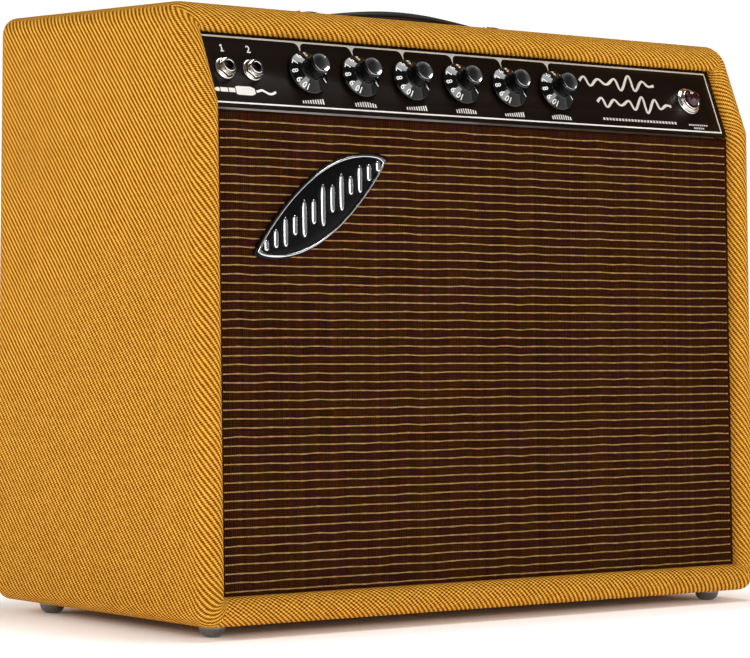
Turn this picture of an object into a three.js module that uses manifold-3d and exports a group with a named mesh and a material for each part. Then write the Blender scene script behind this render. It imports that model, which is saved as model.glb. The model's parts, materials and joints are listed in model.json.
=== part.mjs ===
// A one-speaker valve guitar amplifier, built as the separate pieces of the real one.
// Millimetres, +Z up, front towards -Y, +X to the right seen from the front.
// The origin is on the floor under the middle of the cabinet.
import * as THREE from "three";
import { mergeVertices } from "three/addons/utils/BufferGeometryUtils.js";
import Module from "manifold-3d";

const wasm = await Module();
wasm.setup();

// ---- Driving dimensions ----------------------------------------------------------------
const WIDTH = 505;
const DEPTH = 241;
const TOP = 406;
const FOOT_HEIGHT = 8;
const BOARD = 19;

// Clearance between pieces that touch or nest, and sides on the round ones.
const GAP = 0.3;
const SMALL_SIDES = 12;
const MEDIUM_SIDES = 16;
const LARGE_SIDES = 24;
const SPEAKER_SIDES = 32;

// The front edge leans back a little, then slopes back more beside the control panel.
const LEAN = THREE.MathUtils.degToRad(2.3);
const SLOPE = THREE.MathUtils.degToRad(23.5);
const BREAK_Z = 341;

const INNER_X = WIDTH / 2 - BOARD;
const FLOOR_Z = FOOT_HEIGHT + BOARD;
const CEILING_Z = TOP - BOARD;
const OUTER_CORNER = 12;
const INNER_CORNER = 0.8;
const OUTER_EDGE = 11;
const INNER_EDGE = 8;
const BACK_EDGE = 5;
const LEAN_FROM_Z = FLOOR_Z - INNER_EDGE;

// Pieces on the lean: n is the distance outward from the front edges of the cabinet.
const CLOTH_N = -8;
const CLOTH_THICK = 1.2;
const BAFFLE_THICK = 12.7;
const BAFFLE_TOP_S = 329;
const BAFFLE_N = CLOTH_N - CLOTH_THICK - GAP - BAFFLE_THICK;

// The control panel's bottom line, and its size measured up the slope.
const PANEL_Y = -99.05;
const PANEL_Z = 341;
const PANEL_BOTTOM = -3;
const PANEL_TOP = 49.3;
const PANEL_THICK = 1.5;
const CONTROL_T = 24;

const KNOB_NAMES = ["volume", "treble", "bass", "reverb", "speed", "intensity"];
const KNOB_FIRST_X = -152;
const KNOB_PITCH = 44.44;
const JACK_XS = [-219, -196.8];
const PILOT_X = 203.3;
const BUSH_HOLE = 5;
const PILOT_HOLE = 7.9;

// The steel tray that hangs from the top board, open upward, its valves hanging below.
const STEEL = 1.5;
const CHASSIS_HALF = 231;
const CHASSIS_BOTTOM = 339;
const CHASSIS_TOP = 383.4;
const CHASSIS_BACK = 98;
const SOCKET_BOTTOM = 335;
const BOARD_Z = 350;
const VALVE_Y = 62;
const SMALL_VALVE_XS = [-150, -112, -74, -36];
const POWER_VALVE_XS = [12, 58];
const RECTIFIER_X = 104;
const SMALL_SOCKET = 10.6;
const OCTAL_SOCKET = 14;

// Back of the chassis, seen from behind from left to right.
const INLET_X = 181;
const FUSE_X = 152;
const SWITCH_X = 122;
const SPEAKER_JACK_X = -70;
const PEDAL_JACK_X = -112;
const REAR_Z = 361;
const INLET = { width: 27, height: 20, depth: 19 };
const FUSE_HOLE = 6.9;
const SWITCH_HOLE = 6.4;
const SWITCH_TILT = THREE.MathUtils.degToRad(12.5);

const SPEAKER_S = 167.5;
const SPEAKER_R = 128;
const CUTOUT_R = 115;
const BASKET_WINDOWS = 8;

const BACK_PANEL_Y = 110;
const BACK_PANEL_THICK = 6;
const LOWER_PANEL_TOP = 120;
const UPPER_PANEL = { bottom: 262, top: 334 };
const CLEAT = { width: 12.5, depth: 13 };

const HANDLE_HALF = 84;
const STRAP_HALF = 68.5;
const STRAP_WIDTH = 22;
const HANDLE_Y = 2;

const BADGE = { x: -150, z: 277.5, length: 111, height: 26.5, thick: 4, tilt: Math.PI / 6 };
const TANK = { width: 424, depth: 110, height: 33, y: 51, wall: 1.2 };
const FOOT_X = 226;
const FOOT_YS = { front: -93, rear: 88 };

// ---- Finishes: colour, roughness, metalness --------------------------------------------
const FINISHES = {
  tweed: [0xc28c2c, 0.6, 0],
  ply: [0xb08a5a, 0.7, 0],
  cloth: [0x2e1712, 0.9, 0],
  panel: [0x241814, 0.45, 0.2],
  black: [0x0c0c0d, 0.25, 0],
  leather: [0x17130f, 0.5, 0],
  nickel: [0xc9c6bf, 0.18, 1],
  aluminium: [0xcfd0d0, 0.3, 1],
  steel: [0xa3a5a4, 0.4, 1],
  iron: [0x1b1b1c, 0.5, 0.6],
  paper: [0x1d1a18, 0.9, 0],
  glass: [0xbfc6c4, 0.05, 0],
  jewel: [0x4b1030, 0.1, 0],
  fibre: [0x6a4a22, 0.7, 0],
};

// ---- Geometry helpers ------------------------------------------------------------------
function dropEmptyTriangles(geometry) {
  const old = geometry.index.array;
  const kept = [];
  for (let i = 0; i < old.length; i += 3) {
    const [a, b, c] = [old[i], old[i + 1], old[i + 2]];
    if (a !== b && b !== c && c !== a) {
      kept.push(a, b, c);
    }
  }
  geometry.setIndex(kept);
  return geometry;
}

// Shared corners merged, and only positions left, as a solid needs.
function weld(geometry) {
  const bare = new THREE.BufferGeometry();
  bare.setAttribute("position", geometry.attributes.position.clone());
  bare.setIndex(geometry.index);
  return dropEmptyTriangles(mergeVertices(bare, 1e-3));
}

function signedVolume(geometry) {
  const at = geometry.attributes.position;
  const order = geometry.index.array;
  const [a, b, c] = [0, 1, 2].map(() => new THREE.Vector3());
  let total = 0;
  for (let i = 0; i < order.length; i += 3) {
    a.fromBufferAttribute(at, order[i]);
    b.fromBufferAttribute(at, order[i + 1]);
    c.fromBufferAttribute(at, order[i + 2]);
    total += a.dot(b.cross(c)) / 6;
  }
  return total;
}

function facingOut(geometry) {
  const welded = weld(geometry);
  if (signedVolume(welded) < 0) {
    welded.setIndex(Array.from(welded.index.array).reverse());
  }
  return welded;
}

function toSolid(geometry) {
  const welded = facingOut(geometry);
  const vertProperties = Float32Array.from(welded.attributes.position.array);
  const triVerts = Uint32Array.from(welded.index.array);
  return new wasm.Manifold(new wasm.Mesh({ numProp: 3, vertProperties, triVerts }));
}

function fromSolid(manifold) {
  const mesh = manifold.getMesh();
  const geometry = new THREE.BufferGeometry();
  geometry.setAttribute("position", new THREE.BufferAttribute(mesh.vertProperties, 3));
  geometry.setIndex(new THREE.BufferAttribute(mesh.triVerts, 1));
  return geometry;
}

function cut(body, tools) {
  return fromSolid(tools.reduce((left, tool) => left.subtract(toSolid(tool)), toSolid(body)));
}

function join(parts) {
  return fromSolid(parts.map(toSolid).reduce((sum, part) => sum.add(part)));
}

// A box from its lowest to its highest corner.
function block(low, high) {
  const size = high.map((value, i) => value - low[i]);
  const middle = high.map((value, i) => (value + low[i]) / 2);
  return new THREE.BoxGeometry(...size).translate(...middle);
}

// A shape turned about +Z, from [radius, z] points.
function turned(profile, sides = MEDIUM_SIDES) {
  const points = profile.map(([radius, z]) => new THREE.Vector2(radius, z));
  return new THREE.LatheGeometry(points, sides).rotateX(Math.PI / 2);
}

function ring(profile, sides) {
  return turned([...profile, profile[0]], sides);
}

function rod(radius, from, to, sides = SMALL_SIDES) {
  return turned([[0, from], [radius, from], [radius, to], [0, to]], sides);
}

function roundedRectangle(width, height, radius) {
  const shape = new THREE.Shape();
  const [x, y] = [width / 2 - radius, height / 2 - radius];
  shape.absarc(x, -y, radius, -Math.PI / 2, 0);
  shape.absarc(x, y, radius, 0, Math.PI / 2);
  shape.absarc(-x, y, radius, Math.PI / 2, Math.PI);
  shape.absarc(-x, -y, radius, Math.PI, 1.5 * Math.PI);
  return shape;
}

function rectangle(left, bottom, right, top) {
  const corners = [[left, bottom], [right, bottom], [right, top], [left, top]];
  return new THREE.Shape(corners.map(([x, y]) => new THREE.Vector2(x, y)));
}

function roundHole(x, y, radius) {
  return new THREE.Path().absarc(x, y, radius, 0, 2 * Math.PI, true);
}

function plate(shape, thickness, curveSegments = 10) {
  return new THREE.ExtrudeGeometry(shape, { depth: thickness, bevelEnabled: false, curveSegments });
}

// A side view of [y, z] points, extruded along X from -width/2 to width/2.
function sideProfile(points, width) {
  const shape = new THREE.Shape(points.map(([y, z]) => new THREE.Vector2(y, z)));
  const axes = [new THREE.Vector3(0, 1, 0), new THREE.Vector3(0, 0, 1), new THREE.Vector3(1, 0, 0)];
  const turn = new THREE.Matrix4().makeBasis(...axes);
  return plate(shape, width).applyMatrix4(turn).translate(-width / 2, 0, 0);
}

// A closed skin through rings of points, the last ring joined to the first.
function ringSkin(rings) {
  const around = rings[0].length;
  const index = [];
  rings.forEach((points, i) => {
    const here = i * around;
    const next = ((i + 1) % rings.length) * around;
    points.forEach((_, j) => {
      const k = (j + 1) % around;
      index.push(here + j, here + k, next + j);
      index.push(here + k, next + k, next + j);
    });
  });
  return new THREE.BufferGeometry().setFromPoints(rings.flat()).setIndex(index);
}

function arc(from, to, steps) {
  return Array.from({ length: steps + 1 }, (_, i) => from + ((to - from) * i) / steps);
}

// The cabinet's front edge, seen from the side.
function frontEdgeY(z) {
  const leaning = Math.min(z, BREAK_Z) - LEAN_FROM_Z;
  const sloping = Math.max(z - BREAK_Z, 0);
  return -DEPTH / 2 + leaning * Math.tan(LEAN) + sloping * Math.tan(SLOPE);
}

// ---- The assembly's groups -------------------------------------------------------------
const amplifier = new THREE.Group();

// Local Y runs up the leaning front edges and local Z points outward from them.
const leaningFace = new THREE.Group();
leaningFace.position.set(0, frontEdgeY(FOOT_HEIGHT), FOOT_HEIGHT);
leaningFace.rotation.x = Math.PI / 2 - LEAN;

// Local Y runs up the control panel and local Z points outward from its face.
const panelFace = new THREE.Group();
panelFace.position.set(0, PANEL_Y, PANEL_Z);
panelFace.rotation.x = Math.PI / 2 - SLOPE;
panelFace.updateMatrix();

// Local Z points out of the back of the chassis.
const rearFace = new THREE.Group();
rearFace.position.set(0, CHASSIS_BACK, REAR_Z);
rearFace.rotation.x = -Math.PI / 2;
rearFace.updateMatrix();

// Local Z points down from the valve sockets.
const socketFace = new THREE.Group();
socketFace.position.set(0, VALVE_Y, SOCKET_BOTTOM - GAP);
socketFace.rotation.x = Math.PI;

amplifier.add(leaningFace, panelFace, rearFace, socketFace);

function add(parent, name, finish, geometry, x = 0, y = 0, z = 0) {
  const [color, roughness, metalness] = FINISHES[finish];
  const material = new THREE.MeshStandardMaterial({ color, roughness, metalness });
  const mesh = new THREE.Mesh(facingOut(geometry), material);
  mesh.name = name;
  mesh.position.set(x, y, z);
  parent.add(mesh);
  return mesh;
}

// ---- Cabinet ---------------------------------------------------------------------------
// One board's section: across runs from the inner face to the outer one, and back is the
// distance behind the front edge, or ahead of the back edge where fromBack is set.
function boardSection() {
  const quarter = Math.PI / 2;
  const outerFront = arc(0, quarter, 3).map((a) => ({
    across: BOARD - OUTER_EDGE + OUTER_EDGE * Math.sin(a),
    back: OUTER_EDGE - OUTER_EDGE * Math.cos(a),
  }));
  const innerFront = arc(quarter, 0, 3).map((a) => ({
    across: INNER_EDGE - INNER_EDGE * Math.sin(a),
    back: INNER_EDGE - INNER_EDGE * Math.cos(a),
  }));
  const outerBack = arc(quarter, 0, 2).map((a) => ({
    across: BOARD - BACK_EDGE + BACK_EDGE * Math.sin(a),
    back: BACK_EDGE - BACK_EDGE * Math.cos(a),
    fromBack: true,
  }));
  const innerBack = { across: 0, back: 0, fromBack: true };
  return [...outerFront, ...outerBack, innerBack, ...innerFront.slice(0, -1)];
}

// Stations round the frame seen from the front: a point on the inner and the outer face.
function frameStations() {
  const height = (TOP - FOOT_HEIGHT) / 2;
  const middleZ = FOOT_HEIGHT + height;
  const corner = (sideX, sideZ, from) =>
    arc(from, from + Math.PI / 2, 3).map((a) => {
      const place = (inset, radius) => new THREE.Vector2(
        sideX * (WIDTH / 2 - inset - radius) + radius * Math.cos(a),
        middleZ + sideZ * (height - inset - radius) + radius * Math.sin(a),
      );
      return { inner: place(BOARD, INNER_CORNER), outer: place(0, OUTER_CORNER) };
    });
  const side = (sideX) => ({
    inner: new THREE.Vector2(sideX * INNER_X, BREAK_Z),
    outer: new THREE.Vector2((sideX * WIDTH) / 2, BREAK_Z),
  });
  return [
    side(1),
    ...corner(1, 1, 0),
    ...corner(-1, 1, Math.PI / 2),
    side(-1),
    ...corner(-1, -1, Math.PI),
    ...corner(1, -1, 1.5 * Math.PI),
  ];
}

function cabinetShell() {
  const section = boardSection();
  const rings = frameStations().map(({ inner, outer }) =>
    section.map(({ across, back, fromBack }) => {
      const at = inner.clone().lerp(outer, across / BOARD);
      const y = fromBack ? DEPTH / 2 - back : frontEdgeY(at.y) + back;
      return new THREE.Vector3(at.x, y, at.y);
    }),
  );
  const cleats = [-1, 1].flatMap((side) =>
    [[FLOOR_Z - 2, LOWER_PANEL_TOP], [UPPER_PANEL.bottom, UPPER_PANEL.top]].map(([low, high]) => {
      const [inside, outside] = [INNER_X - CLEAT.width, INNER_X + 2].map((x) => side * x);
      const back = BACK_PANEL_Y - GAP;
      const xs = [Math.min(inside, outside), Math.max(inside, outside)];
      return block([xs[0], back - CLEAT.depth, low], [xs[1], back, high]);
    }),
  );
  return join([ringSkin(rings), ...cleats]);
}

function addCabinet() {
  const halfInside = INNER_X - GAP;
  add(amplifier, "cabinet_shell", "tweed", cabinetShell());

  const baffle = rectangle(-halfInside, 20.3, halfInside, BAFFLE_TOP_S);
  baffle.holes.push(roundHole(0, SPEAKER_S, CUTOUT_R));
  add(leaningFace, "baffle_board", "ply", plate(baffle, BAFFLE_THICK, SPEAKER_SIDES / 2), 0, 0, BAFFLE_N);

  const cloth = rectangle(-halfInside, 19.8, halfInside, BAFFLE_TOP_S);
  add(leaningFace, "grille_cloth", "cloth", plate(cloth, CLOTH_THICK), 0, 0, CLOTH_N - CLOTH_THICK);

  const badge = add(
    leaningFace,
    "badge",
    "nickel",
    plate(roundedRectangle(BADGE.length, BADGE.height, 9), BADGE.thick, 4),
    BADGE.x,
    (BADGE.z - FOOT_HEIGHT) / Math.cos(LEAN),
    CLOTH_N + GAP,
  );
  badge.rotation.z = BADGE.tilt;

  const back = BACK_PANEL_Y + BACK_PANEL_THICK;
  const panel = (low, high) => block([-halfInside, BACK_PANEL_Y, low], [halfInside, back, high]);
  add(amplifier, "upper_back_panel", "tweed", panel(UPPER_PANEL.bottom, UPPER_PANEL.top));
  add(amplifier, "lower_back_panel", "tweed", panel(FLOOR_Z + GAP, LOWER_PANEL_TOP));

  const foot = [[0, 0], [4.6, 0], [7.4, 2.2], [8.7, 5.6], [8.7, FOOT_HEIGHT - GAP], [0, FOOT_HEIGHT - GAP]];
  for (const [end, y] of Object.entries(FOOT_YS)) {
    add(amplifier, `foot_${end}_left`, "nickel", turned(foot), -FOOT_X, y);
    add(amplifier, `foot_${end}_right`, "nickel", turned(foot), FOOT_X, y);
  }
}

// ---- Carrying handle -------------------------------------------------------------------
// The spring band's rise above the top board at x, low where its ends slide in the caps.
function bandRise(x) {
  return 2.6 + 5.9 * Math.abs(Math.cos((Math.PI * x) / (2 * HANDLE_HALF))) ** 1.2;
}

// A strap lengthwise in X, between two heights that vary with x, and centred on y = 0.
function strap(half, width, under, over) {
  const xs = arc(-half, half, 14);
  const low = xs.map((x) => new THREE.Vector2(x, under(x)));
  const high = [...xs].reverse().map((x) => new THREE.Vector2(x, over(x)));
  const outline = new THREE.Shape([...low, ...high]);
  return plate(outline, width).rotateX(Math.PI / 2).translate(0, width / 2, 0);
}

function handleCap() {
  const [half, rise, width] = [14, 7.4, 26];
  const dome = new THREE.Shape().absellipse(0, 0, half, rise, 0, Math.PI);
  dome.closePath();
  const body = plate(dome, width, 8).rotateX(Math.PI / 2).translate(0, width / 2, 0);
  const mouth = block([-half - 1, -STRAP_WIDTH / 2 - 0.7, 1.1], [6, STRAP_WIDTH / 2 + 0.7, 4.8]);
  return cut(body, [mouth]);
}

function addHandle() {
  const thickness = 1.6;
  const under = (x) => bandRise(x) - thickness / 2;
  const over = (x) => bandRise(x) + thickness / 2;
  add(amplifier, "handle_band", "steel", strap(HANDLE_HALF, STRAP_WIDTH - 2, under, over), 0, HANDLE_Y, TOP);

  const gripUnder = (x) => over(x) + GAP;
  const gripOver = (x) => gripUnder(x) + 2.2 + 1.6 * Math.cos((Math.PI * x) / (2 * STRAP_HALF));
  const grip = strap(STRAP_HALF, STRAP_WIDTH, gripUnder, gripOver);
  add(amplifier, "handle_grip", "leather", grip, 0, HANDLE_Y, TOP);

  add(amplifier, "handle_cap_right", "nickel", handleCap(), HANDLE_HALF, HANDLE_Y, TOP + GAP);
  const left = add(amplifier, "handle_cap_left", "nickel", handleCap(), -HANDLE_HALF, HANDLE_Y, TOP + GAP);
  left.rotation.z = Math.PI;
}

// ---- Chassis and what is mounted on it -------------------------------------------------
function knobXs() {
  return KNOB_NAMES.map((_, i) => KNOB_FIRST_X + i * KNOB_PITCH);
}

function frontHoles() {
  return [
    ...knobXs().map((x) => [x, BUSH_HOLE]),
    ...JACK_XS.map((x) => [x, BUSH_HOLE]),
    [PILOT_X, PILOT_HOLE],
  ];
}

// The tray's side view, drawn in by `inset` from its outer faces.
function trayProfile(inset, top) {
  const behindPanel = PANEL_THICK + GAP + inset;
  const frontY = (z) => {
    const up = (z - PANEL_Z + behindPanel * Math.sin(SLOPE)) / Math.cos(SLOPE);
    return PANEL_Y + up * Math.sin(SLOPE) + behindPanel * Math.cos(SLOPE);
  };
  const [low, back] = [CHASSIS_BOTTOM + inset, CHASSIS_BACK - inset];
  return [[frontY(low), low], [back, low], [back, top], [frontY(top), top]];
}

function chassis() {
  const outer = sideProfile(trayProfile(0, CHASSIS_TOP), 2 * CHASSIS_HALF);
  const inner = sideProfile(trayProfile(STEEL, CHASSIS_TOP + 5), 2 * (CHASSIS_HALF - STEEL));
  const front = frontHoles().map(([x, radius]) =>
    rod(radius, -8, 2).translate(x, CONTROL_T, 0).applyMatrix4(panelFace.matrix));
  const rear = [
    [FUSE_X, FUSE_HOLE],
    [SWITCH_X, SWITCH_HOLE],
    [SPEAKER_JACK_X, BUSH_HOLE],
    [PEDAL_JACK_X, BUSH_HOLE],
  ].map(([x, radius]) => rod(radius, -4, 2).translate(x, 0, 0).applyMatrix4(rearFace.matrix));
  const window = block(
    [INLET_X - INLET.width / 2 - GAP, CHASSIS_BACK - 4, REAR_Z - INLET.height / 2 - GAP],
    [INLET_X + INLET.width / 2 + GAP, CHASSIS_BACK + 2, REAR_Z + INLET.height / 2 + GAP],
  );
  const sockets = socketPlaces().map(([x, radius]) =>
    rod(radius + 0.6, CHASSIS_BOTTOM - 2, CHASSIS_BOTTOM + 4).translate(x, VALVE_Y, 0));
  return cut(outer, [inner, ...front, ...rear, window, ...sockets]);
}

function socketPlaces() {
  return [
    ...SMALL_VALVE_XS.map((x) => [x, SMALL_SOCKET]),
    ...[...POWER_VALVE_XS, RECTIFIER_X].map((x) => [x, OCTAL_SOCKET]),
  ];
}

// The valve board, with the seven sockets that reach down through the chassis.
function circuitBoard() {
  const board = block([-205, -52, BOARD_Z], [136, 88, BOARD_Z + 1.6]);
  const sockets = socketPlaces().map(([x, radius]) =>
    rod(radius, SOCKET_BOTTOM, BOARD_Z + 0.8).translate(x, VALVE_Y, 0));
  return join([board, ...sockets]);
}

// Laminated core between two pressed covers, hung from the chassis.
function transformer(width, depth, height, coreDepth) {
  const core = block([-width / 2, -coreDepth / 2, -height], [width / 2, coreDepth / 2, 0]);
  const inset = 12;
  const cover = roundedRectangle(width - inset, height - inset, 9);
  const covers = plate(cover, depth, 3).rotateX(Math.PI / 2).translate(0, depth / 2, -height / 2);
  return join([core, covers]);
}

function smallValve() {
  return turned([[0, 0], [10.2, 0], [10.2, 40], [8.6, 45], [3.2, 49], [1.4, 54], [0, 54.6]], SMALL_SIDES);
}

function powerValve() {
  const profile = [[0, 0], [16.2, 0], [16.2, 15], [14.6, 17], [14.8, 60], [11.6, 70], [5, 76], [0, 77]];
  return turned(profile, SMALL_SIDES);
}

function rectifierValve() {
  const profile = [[0, 0], [16.2, 0], [16.2, 14], [15, 17], [16.6, 38], [16.6, 60], [13, 68], [0, 73]];
  return turned(profile, SMALL_SIDES);
}

function addChassis() {
  add(amplifier, "chassis", "steel", chassis());
  add(amplifier, "circuit_board", "fibre", circuitBoard());

  const under = CHASSIS_BOTTOM - GAP;
  add(amplifier, "power_transformer", "iron", transformer(78, 64, 62, 30), 172, 44, under);
  add(amplifier, "output_transformer", "iron", transformer(58, 48, 48, 24), -182, 8, under);
  add(amplifier, "filter_capacitor", "aluminium", rod(17.5, -56, 0, MEDIUM_SIDES), 92, 8, under);

  SMALL_VALVE_XS.forEach((x, i) => add(socketFace, `preamp_valve_${i + 1}`, "glass", smallValve(), x));
  POWER_VALVE_XS.forEach((x, i) => add(socketFace, `power_valve_${i + 1}`, "glass", powerValve(), x));
  add(socketFace, "rectifier_valve", "glass", rectifierValve(), RECTIFIER_X);
}

// ---- Control panel ---------------------------------------------------------------------
function jack() {
  return turned([
    [3.2, -22], [3.2, 6.5], [4.7, 6.5], [4.7, 4], [6.7, 4], [6.7, 1.2], [7.5, 1], [7.5, GAP],
    [4.6, GAP], [4.6, -3.7], [9, -3.7], [9, -24], [0, -24], [0, -22], [3.2, -22],
  ], SMALL_SIDES);
}

// A potentiometer with its nut: the shaft belongs to the knob and turns in the bore.
function potentiometer() {
  return turned([
    [0, -9.6], [3.4, -9.6], [3.4, 3.2], [4.6, 3.2], [4.6, 2.3], [6.2, 2.3], [6.2, GAP],
    [4.6, GAP], [4.6, -3.7], [12, -3.7], [12, -12.6], [0, -12.6],
  ], SMALL_SIDES);
}

// A skirted knob, hollow over the nut, with its shaft.
function knob() {
  return turned([
    [0, -8.8], [3, -8.8], [3, 5], [8, 5], [8, 1.5], [14.4, 1.5], [15.2, 2.2], [14.8, 3.1],
    [7.8, 6.6], [7.4, 8], [7.1, 16], [6.6, 16.6], [0, 16.6],
  ]);
}

function addControls() {
  const panel = rectangle(-(INNER_X - GAP), PANEL_BOTTOM, INNER_X - GAP, PANEL_TOP);
  panel.holes = frontHoles().map(([x, radius]) => roundHole(x, CONTROL_T, radius));
  add(panelFace, "control_panel", "panel", plate(panel, PANEL_THICK, SMALL_SIDES / 2), 0, 0, -PANEL_THICK);

  knobXs().forEach((x, i) => {
    const name = KNOB_NAMES[i];
    add(panelFace, `pot_${name}`, "steel", potentiometer(), x, CONTROL_T);
    add(panelFace, `knob_${name}`, "black", knob(), x, CONTROL_T);
    add(panelFace, `knob_cap_${name}`, "aluminium", rod(6.4, 16.9, 17.7, MEDIUM_SIDES), x, CONTROL_T);
  });
  JACK_XS.forEach((x, i) => add(panelFace, `input_jack_${i + 1}`, "nickel", jack(), x, CONTROL_T));

  const bezel = [[6.3, -14], [6.3, 4.4], [7.8, 4.4], [9.8, 2.2], [10.3, GAP], [7.5, GAP], [7.5, -14]];
  const jewel = [[0, -5], [5.9, -5], [5.9, 5], [5.1, 7.4], [3, 9.1], [0, 9.7]];
  add(panelFace, "pilot_bezel", "nickel", ring(bezel, MEDIUM_SIDES), PILOT_X, CONTROL_T);
  add(panelFace, "pilot_jewel", "jewel", turned(jewel, 10), PILOT_X, CONTROL_T);
}

// ---- Back of the chassis ---------------------------------------------------------------
// A mains inlet: a shell with three blades standing in its socket.
function mainsInlet() {
  const { width, height, depth } = INLET;
  const flange = plate(roundedRectangle(width + 4, height + 4, 3), 2, 2).translate(0, 0, GAP);
  const shell = block([-width / 2, -height / 2, -depth], [width / 2, height / 2, 1]);
  const socket = block([-width / 2 + 2, -height / 2 + 2, 2 - depth], [width / 2 - 2, height / 2 - 2, 4]);
  const blades = [[-7, -1.5], [0, 2.5], [7, -1.5]].map(([x, y]) =>
    block([x - 1, y - 2, 1 - depth], [x + 1, y + 2, -5.5]));
  const body = fromSolid(toSolid(flange).add(toSolid(shell)).subtract(toSolid(socket)));
  return join([body, ...blades]);
}

function switchBody() {
  return turned([
    [0, -4], [3.5, -4], [3.5, 7], [5.8, 7], [5.8, 4], [7.6, 4], [7.6, GAP], [5.8, GAP],
    [5.8, -2], [9, -2], [9, -18], [0, -18],
  ], SMALL_SIDES);
}

// The bat lever, ball at the pivot, with its tip wider than its neck.
function switchLever() {
  const profile = [[0, -2.4], [1.8, -1.6], [2.4, 0], [1.4, 2], [1.5, 8], [2.6, 16], [2.2, 18.4], [0, 19]];
  return turned(profile, SMALL_SIDES);
}

function addRear() {
  add(rearFace, "mains_inlet", "black", mainsInlet(), INLET_X);
  add(rearFace, "speaker_jack", "nickel", jack(), SPEAKER_JACK_X);
  add(rearFace, "pedal_jack", "nickel", jack(), PEDAL_JACK_X);

  const holder = [[0, -32], [6.3, -32], [6.3, GAP], [8.4, GAP], [8.4, 3], [4.7, 3], [4.7, -30], [0, -30]];
  const cap = [[0, -12], [3.9, -12], [3.9, 3.3], [7, 3.3], [7, 10.5], [6.2, 11.5], [0, 11.5]];
  add(rearFace, "fuse_holder", "black", turned(holder, SMALL_SIDES), FUSE_X);
  add(rearFace, "fuse_cap", "black", turned(cap, SMALL_SIDES), FUSE_X);

  add(rearFace, "power_switch_body", "nickel", switchBody(), SWITCH_X);
  const lever = add(rearFace, "power_switch_lever", "nickel", switchLever(), SWITCH_X, 0, 0);
  lever.rotation.x = -SWITCH_TILT;
}

// ---- Loudspeaker and reverb tank -------------------------------------------------------
function basket() {
  const body = ring([
    [107.5, 0], [SPEAKER_R, 0], [SPEAKER_R, -3], [113.5, -3], [110, -18], [62, -58], [62, -66],
    [22, -66], [22, -63.5], [59, -63.5], [59, -56.5], [107.5, -16],
  ], SPEAKER_SIDES);
  const windows = Array.from({ length: BASKET_WINDOWS }, (_, i) =>
    block([70, -17, -62], [103, 17, -10]).rotateZ(((i + 0.5) * 2 * Math.PI) / BASKET_WINDOWS));
  return cut(body, windows);
}

function magnet() {
  return turned([
    [0, -96], [50, -96], [50, -90], [60, -90], [60, -71], [45, -71], [45, -66.3], [21.2, -66.3],
    [21.2, -80], [17.6, -80], [17.6, -66.3], [0, -66.3],
  ], LARGE_SIDES);
}

// The cone, with its dust cap and the voice coil that reaches into the magnet.
function cone() {
  return turned([
    [0, -34], [13, -37.2], [18.5, -45], [18.5, -72], [19.4, -72], [19.4, -47], [25, -45.5],
    [98, -5.9], [104.5, -5.6], [104.5, -4.6], [98, -4.8], [24, -43.5], [14, -36], [0, -33],
  ], LARGE_SIDES);
}

function reverbTank() {
  const { width, depth, height, wall } = TANK;
  const [x, y] = [width / 2, depth / 2];
  const shell = block([-x, -y, 0], [x, y, height]);
  return cut(shell, [block([wall - x, wall - y, -1], [x - wall, y - wall, height - wall])]);
}

function addSpeaker() {
  const flangeN = BAFFLE_N - GAP;
  add(leaningFace, "speaker_frame", "iron", basket(), 0, SPEAKER_S, flangeN);
  add(leaningFace, "speaker_magnet", "iron", magnet(), 0, SPEAKER_S, flangeN);
  add(leaningFace, "speaker_cone", "paper", cone(), 0, SPEAKER_S, flangeN);
  add(amplifier, "reverb_tank", "steel", reverbTank(), 0, TANK.y, FLOOR_Z + GAP);
}

addCabinet();
addHandle();
addChassis();
addControls();
addRear();
addSpeaker();

export default amplifier;
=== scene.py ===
"""The looks of a one-speaker valve guitar amplifier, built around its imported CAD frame.

Shapes are made in millimetres and placed in the row frame: +Z up, the front towards -Y.
"""

import json
import math
import random
from functools import reduce

import bmesh
import bpy
from mathutils import Matrix, Vector


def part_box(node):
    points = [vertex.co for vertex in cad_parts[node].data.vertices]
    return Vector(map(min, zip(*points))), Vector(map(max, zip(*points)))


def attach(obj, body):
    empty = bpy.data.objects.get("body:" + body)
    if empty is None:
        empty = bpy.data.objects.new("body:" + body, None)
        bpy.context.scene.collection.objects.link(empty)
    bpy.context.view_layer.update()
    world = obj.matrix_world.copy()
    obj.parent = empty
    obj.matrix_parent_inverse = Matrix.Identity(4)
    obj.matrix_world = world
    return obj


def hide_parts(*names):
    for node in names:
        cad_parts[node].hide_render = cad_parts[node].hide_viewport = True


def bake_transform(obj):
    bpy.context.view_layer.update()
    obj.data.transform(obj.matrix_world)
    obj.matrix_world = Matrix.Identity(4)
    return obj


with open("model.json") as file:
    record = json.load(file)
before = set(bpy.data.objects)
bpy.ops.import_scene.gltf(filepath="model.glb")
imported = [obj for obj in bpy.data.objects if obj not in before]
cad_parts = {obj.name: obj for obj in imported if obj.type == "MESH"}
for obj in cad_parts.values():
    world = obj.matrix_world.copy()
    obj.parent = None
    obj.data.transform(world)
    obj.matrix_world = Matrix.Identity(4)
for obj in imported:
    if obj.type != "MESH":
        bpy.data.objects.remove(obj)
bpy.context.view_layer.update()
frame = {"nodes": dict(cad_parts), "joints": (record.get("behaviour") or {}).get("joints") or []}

MM = 0.001
rng = random.Random(7)

# ---- Sizes read from the frame, in millimetres -------------------------------------------
JOINTS = {joint["name"]: joint for joint in frame["joints"]}


def box_mm(node):
    low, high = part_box(node)
    return low / MM, high / MM


CASE_LOW, CASE_HIGH = box_mm("cabinet_shell")
HALF_WIDTH = CASE_HIGH.x
FRONT, BACK = CASE_LOW.y, CASE_HIGH.y
TOP, UNDERSIDE = CASE_HIGH.z, CASE_LOW.z
BOARD = 19.0
INNER_X = HALF_WIDTH - BOARD
FLOOR_Z = UNDERSIDE + BOARD


def axis_of(joint):
    return Vector(JOINTS[joint]["axis"])


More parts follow.
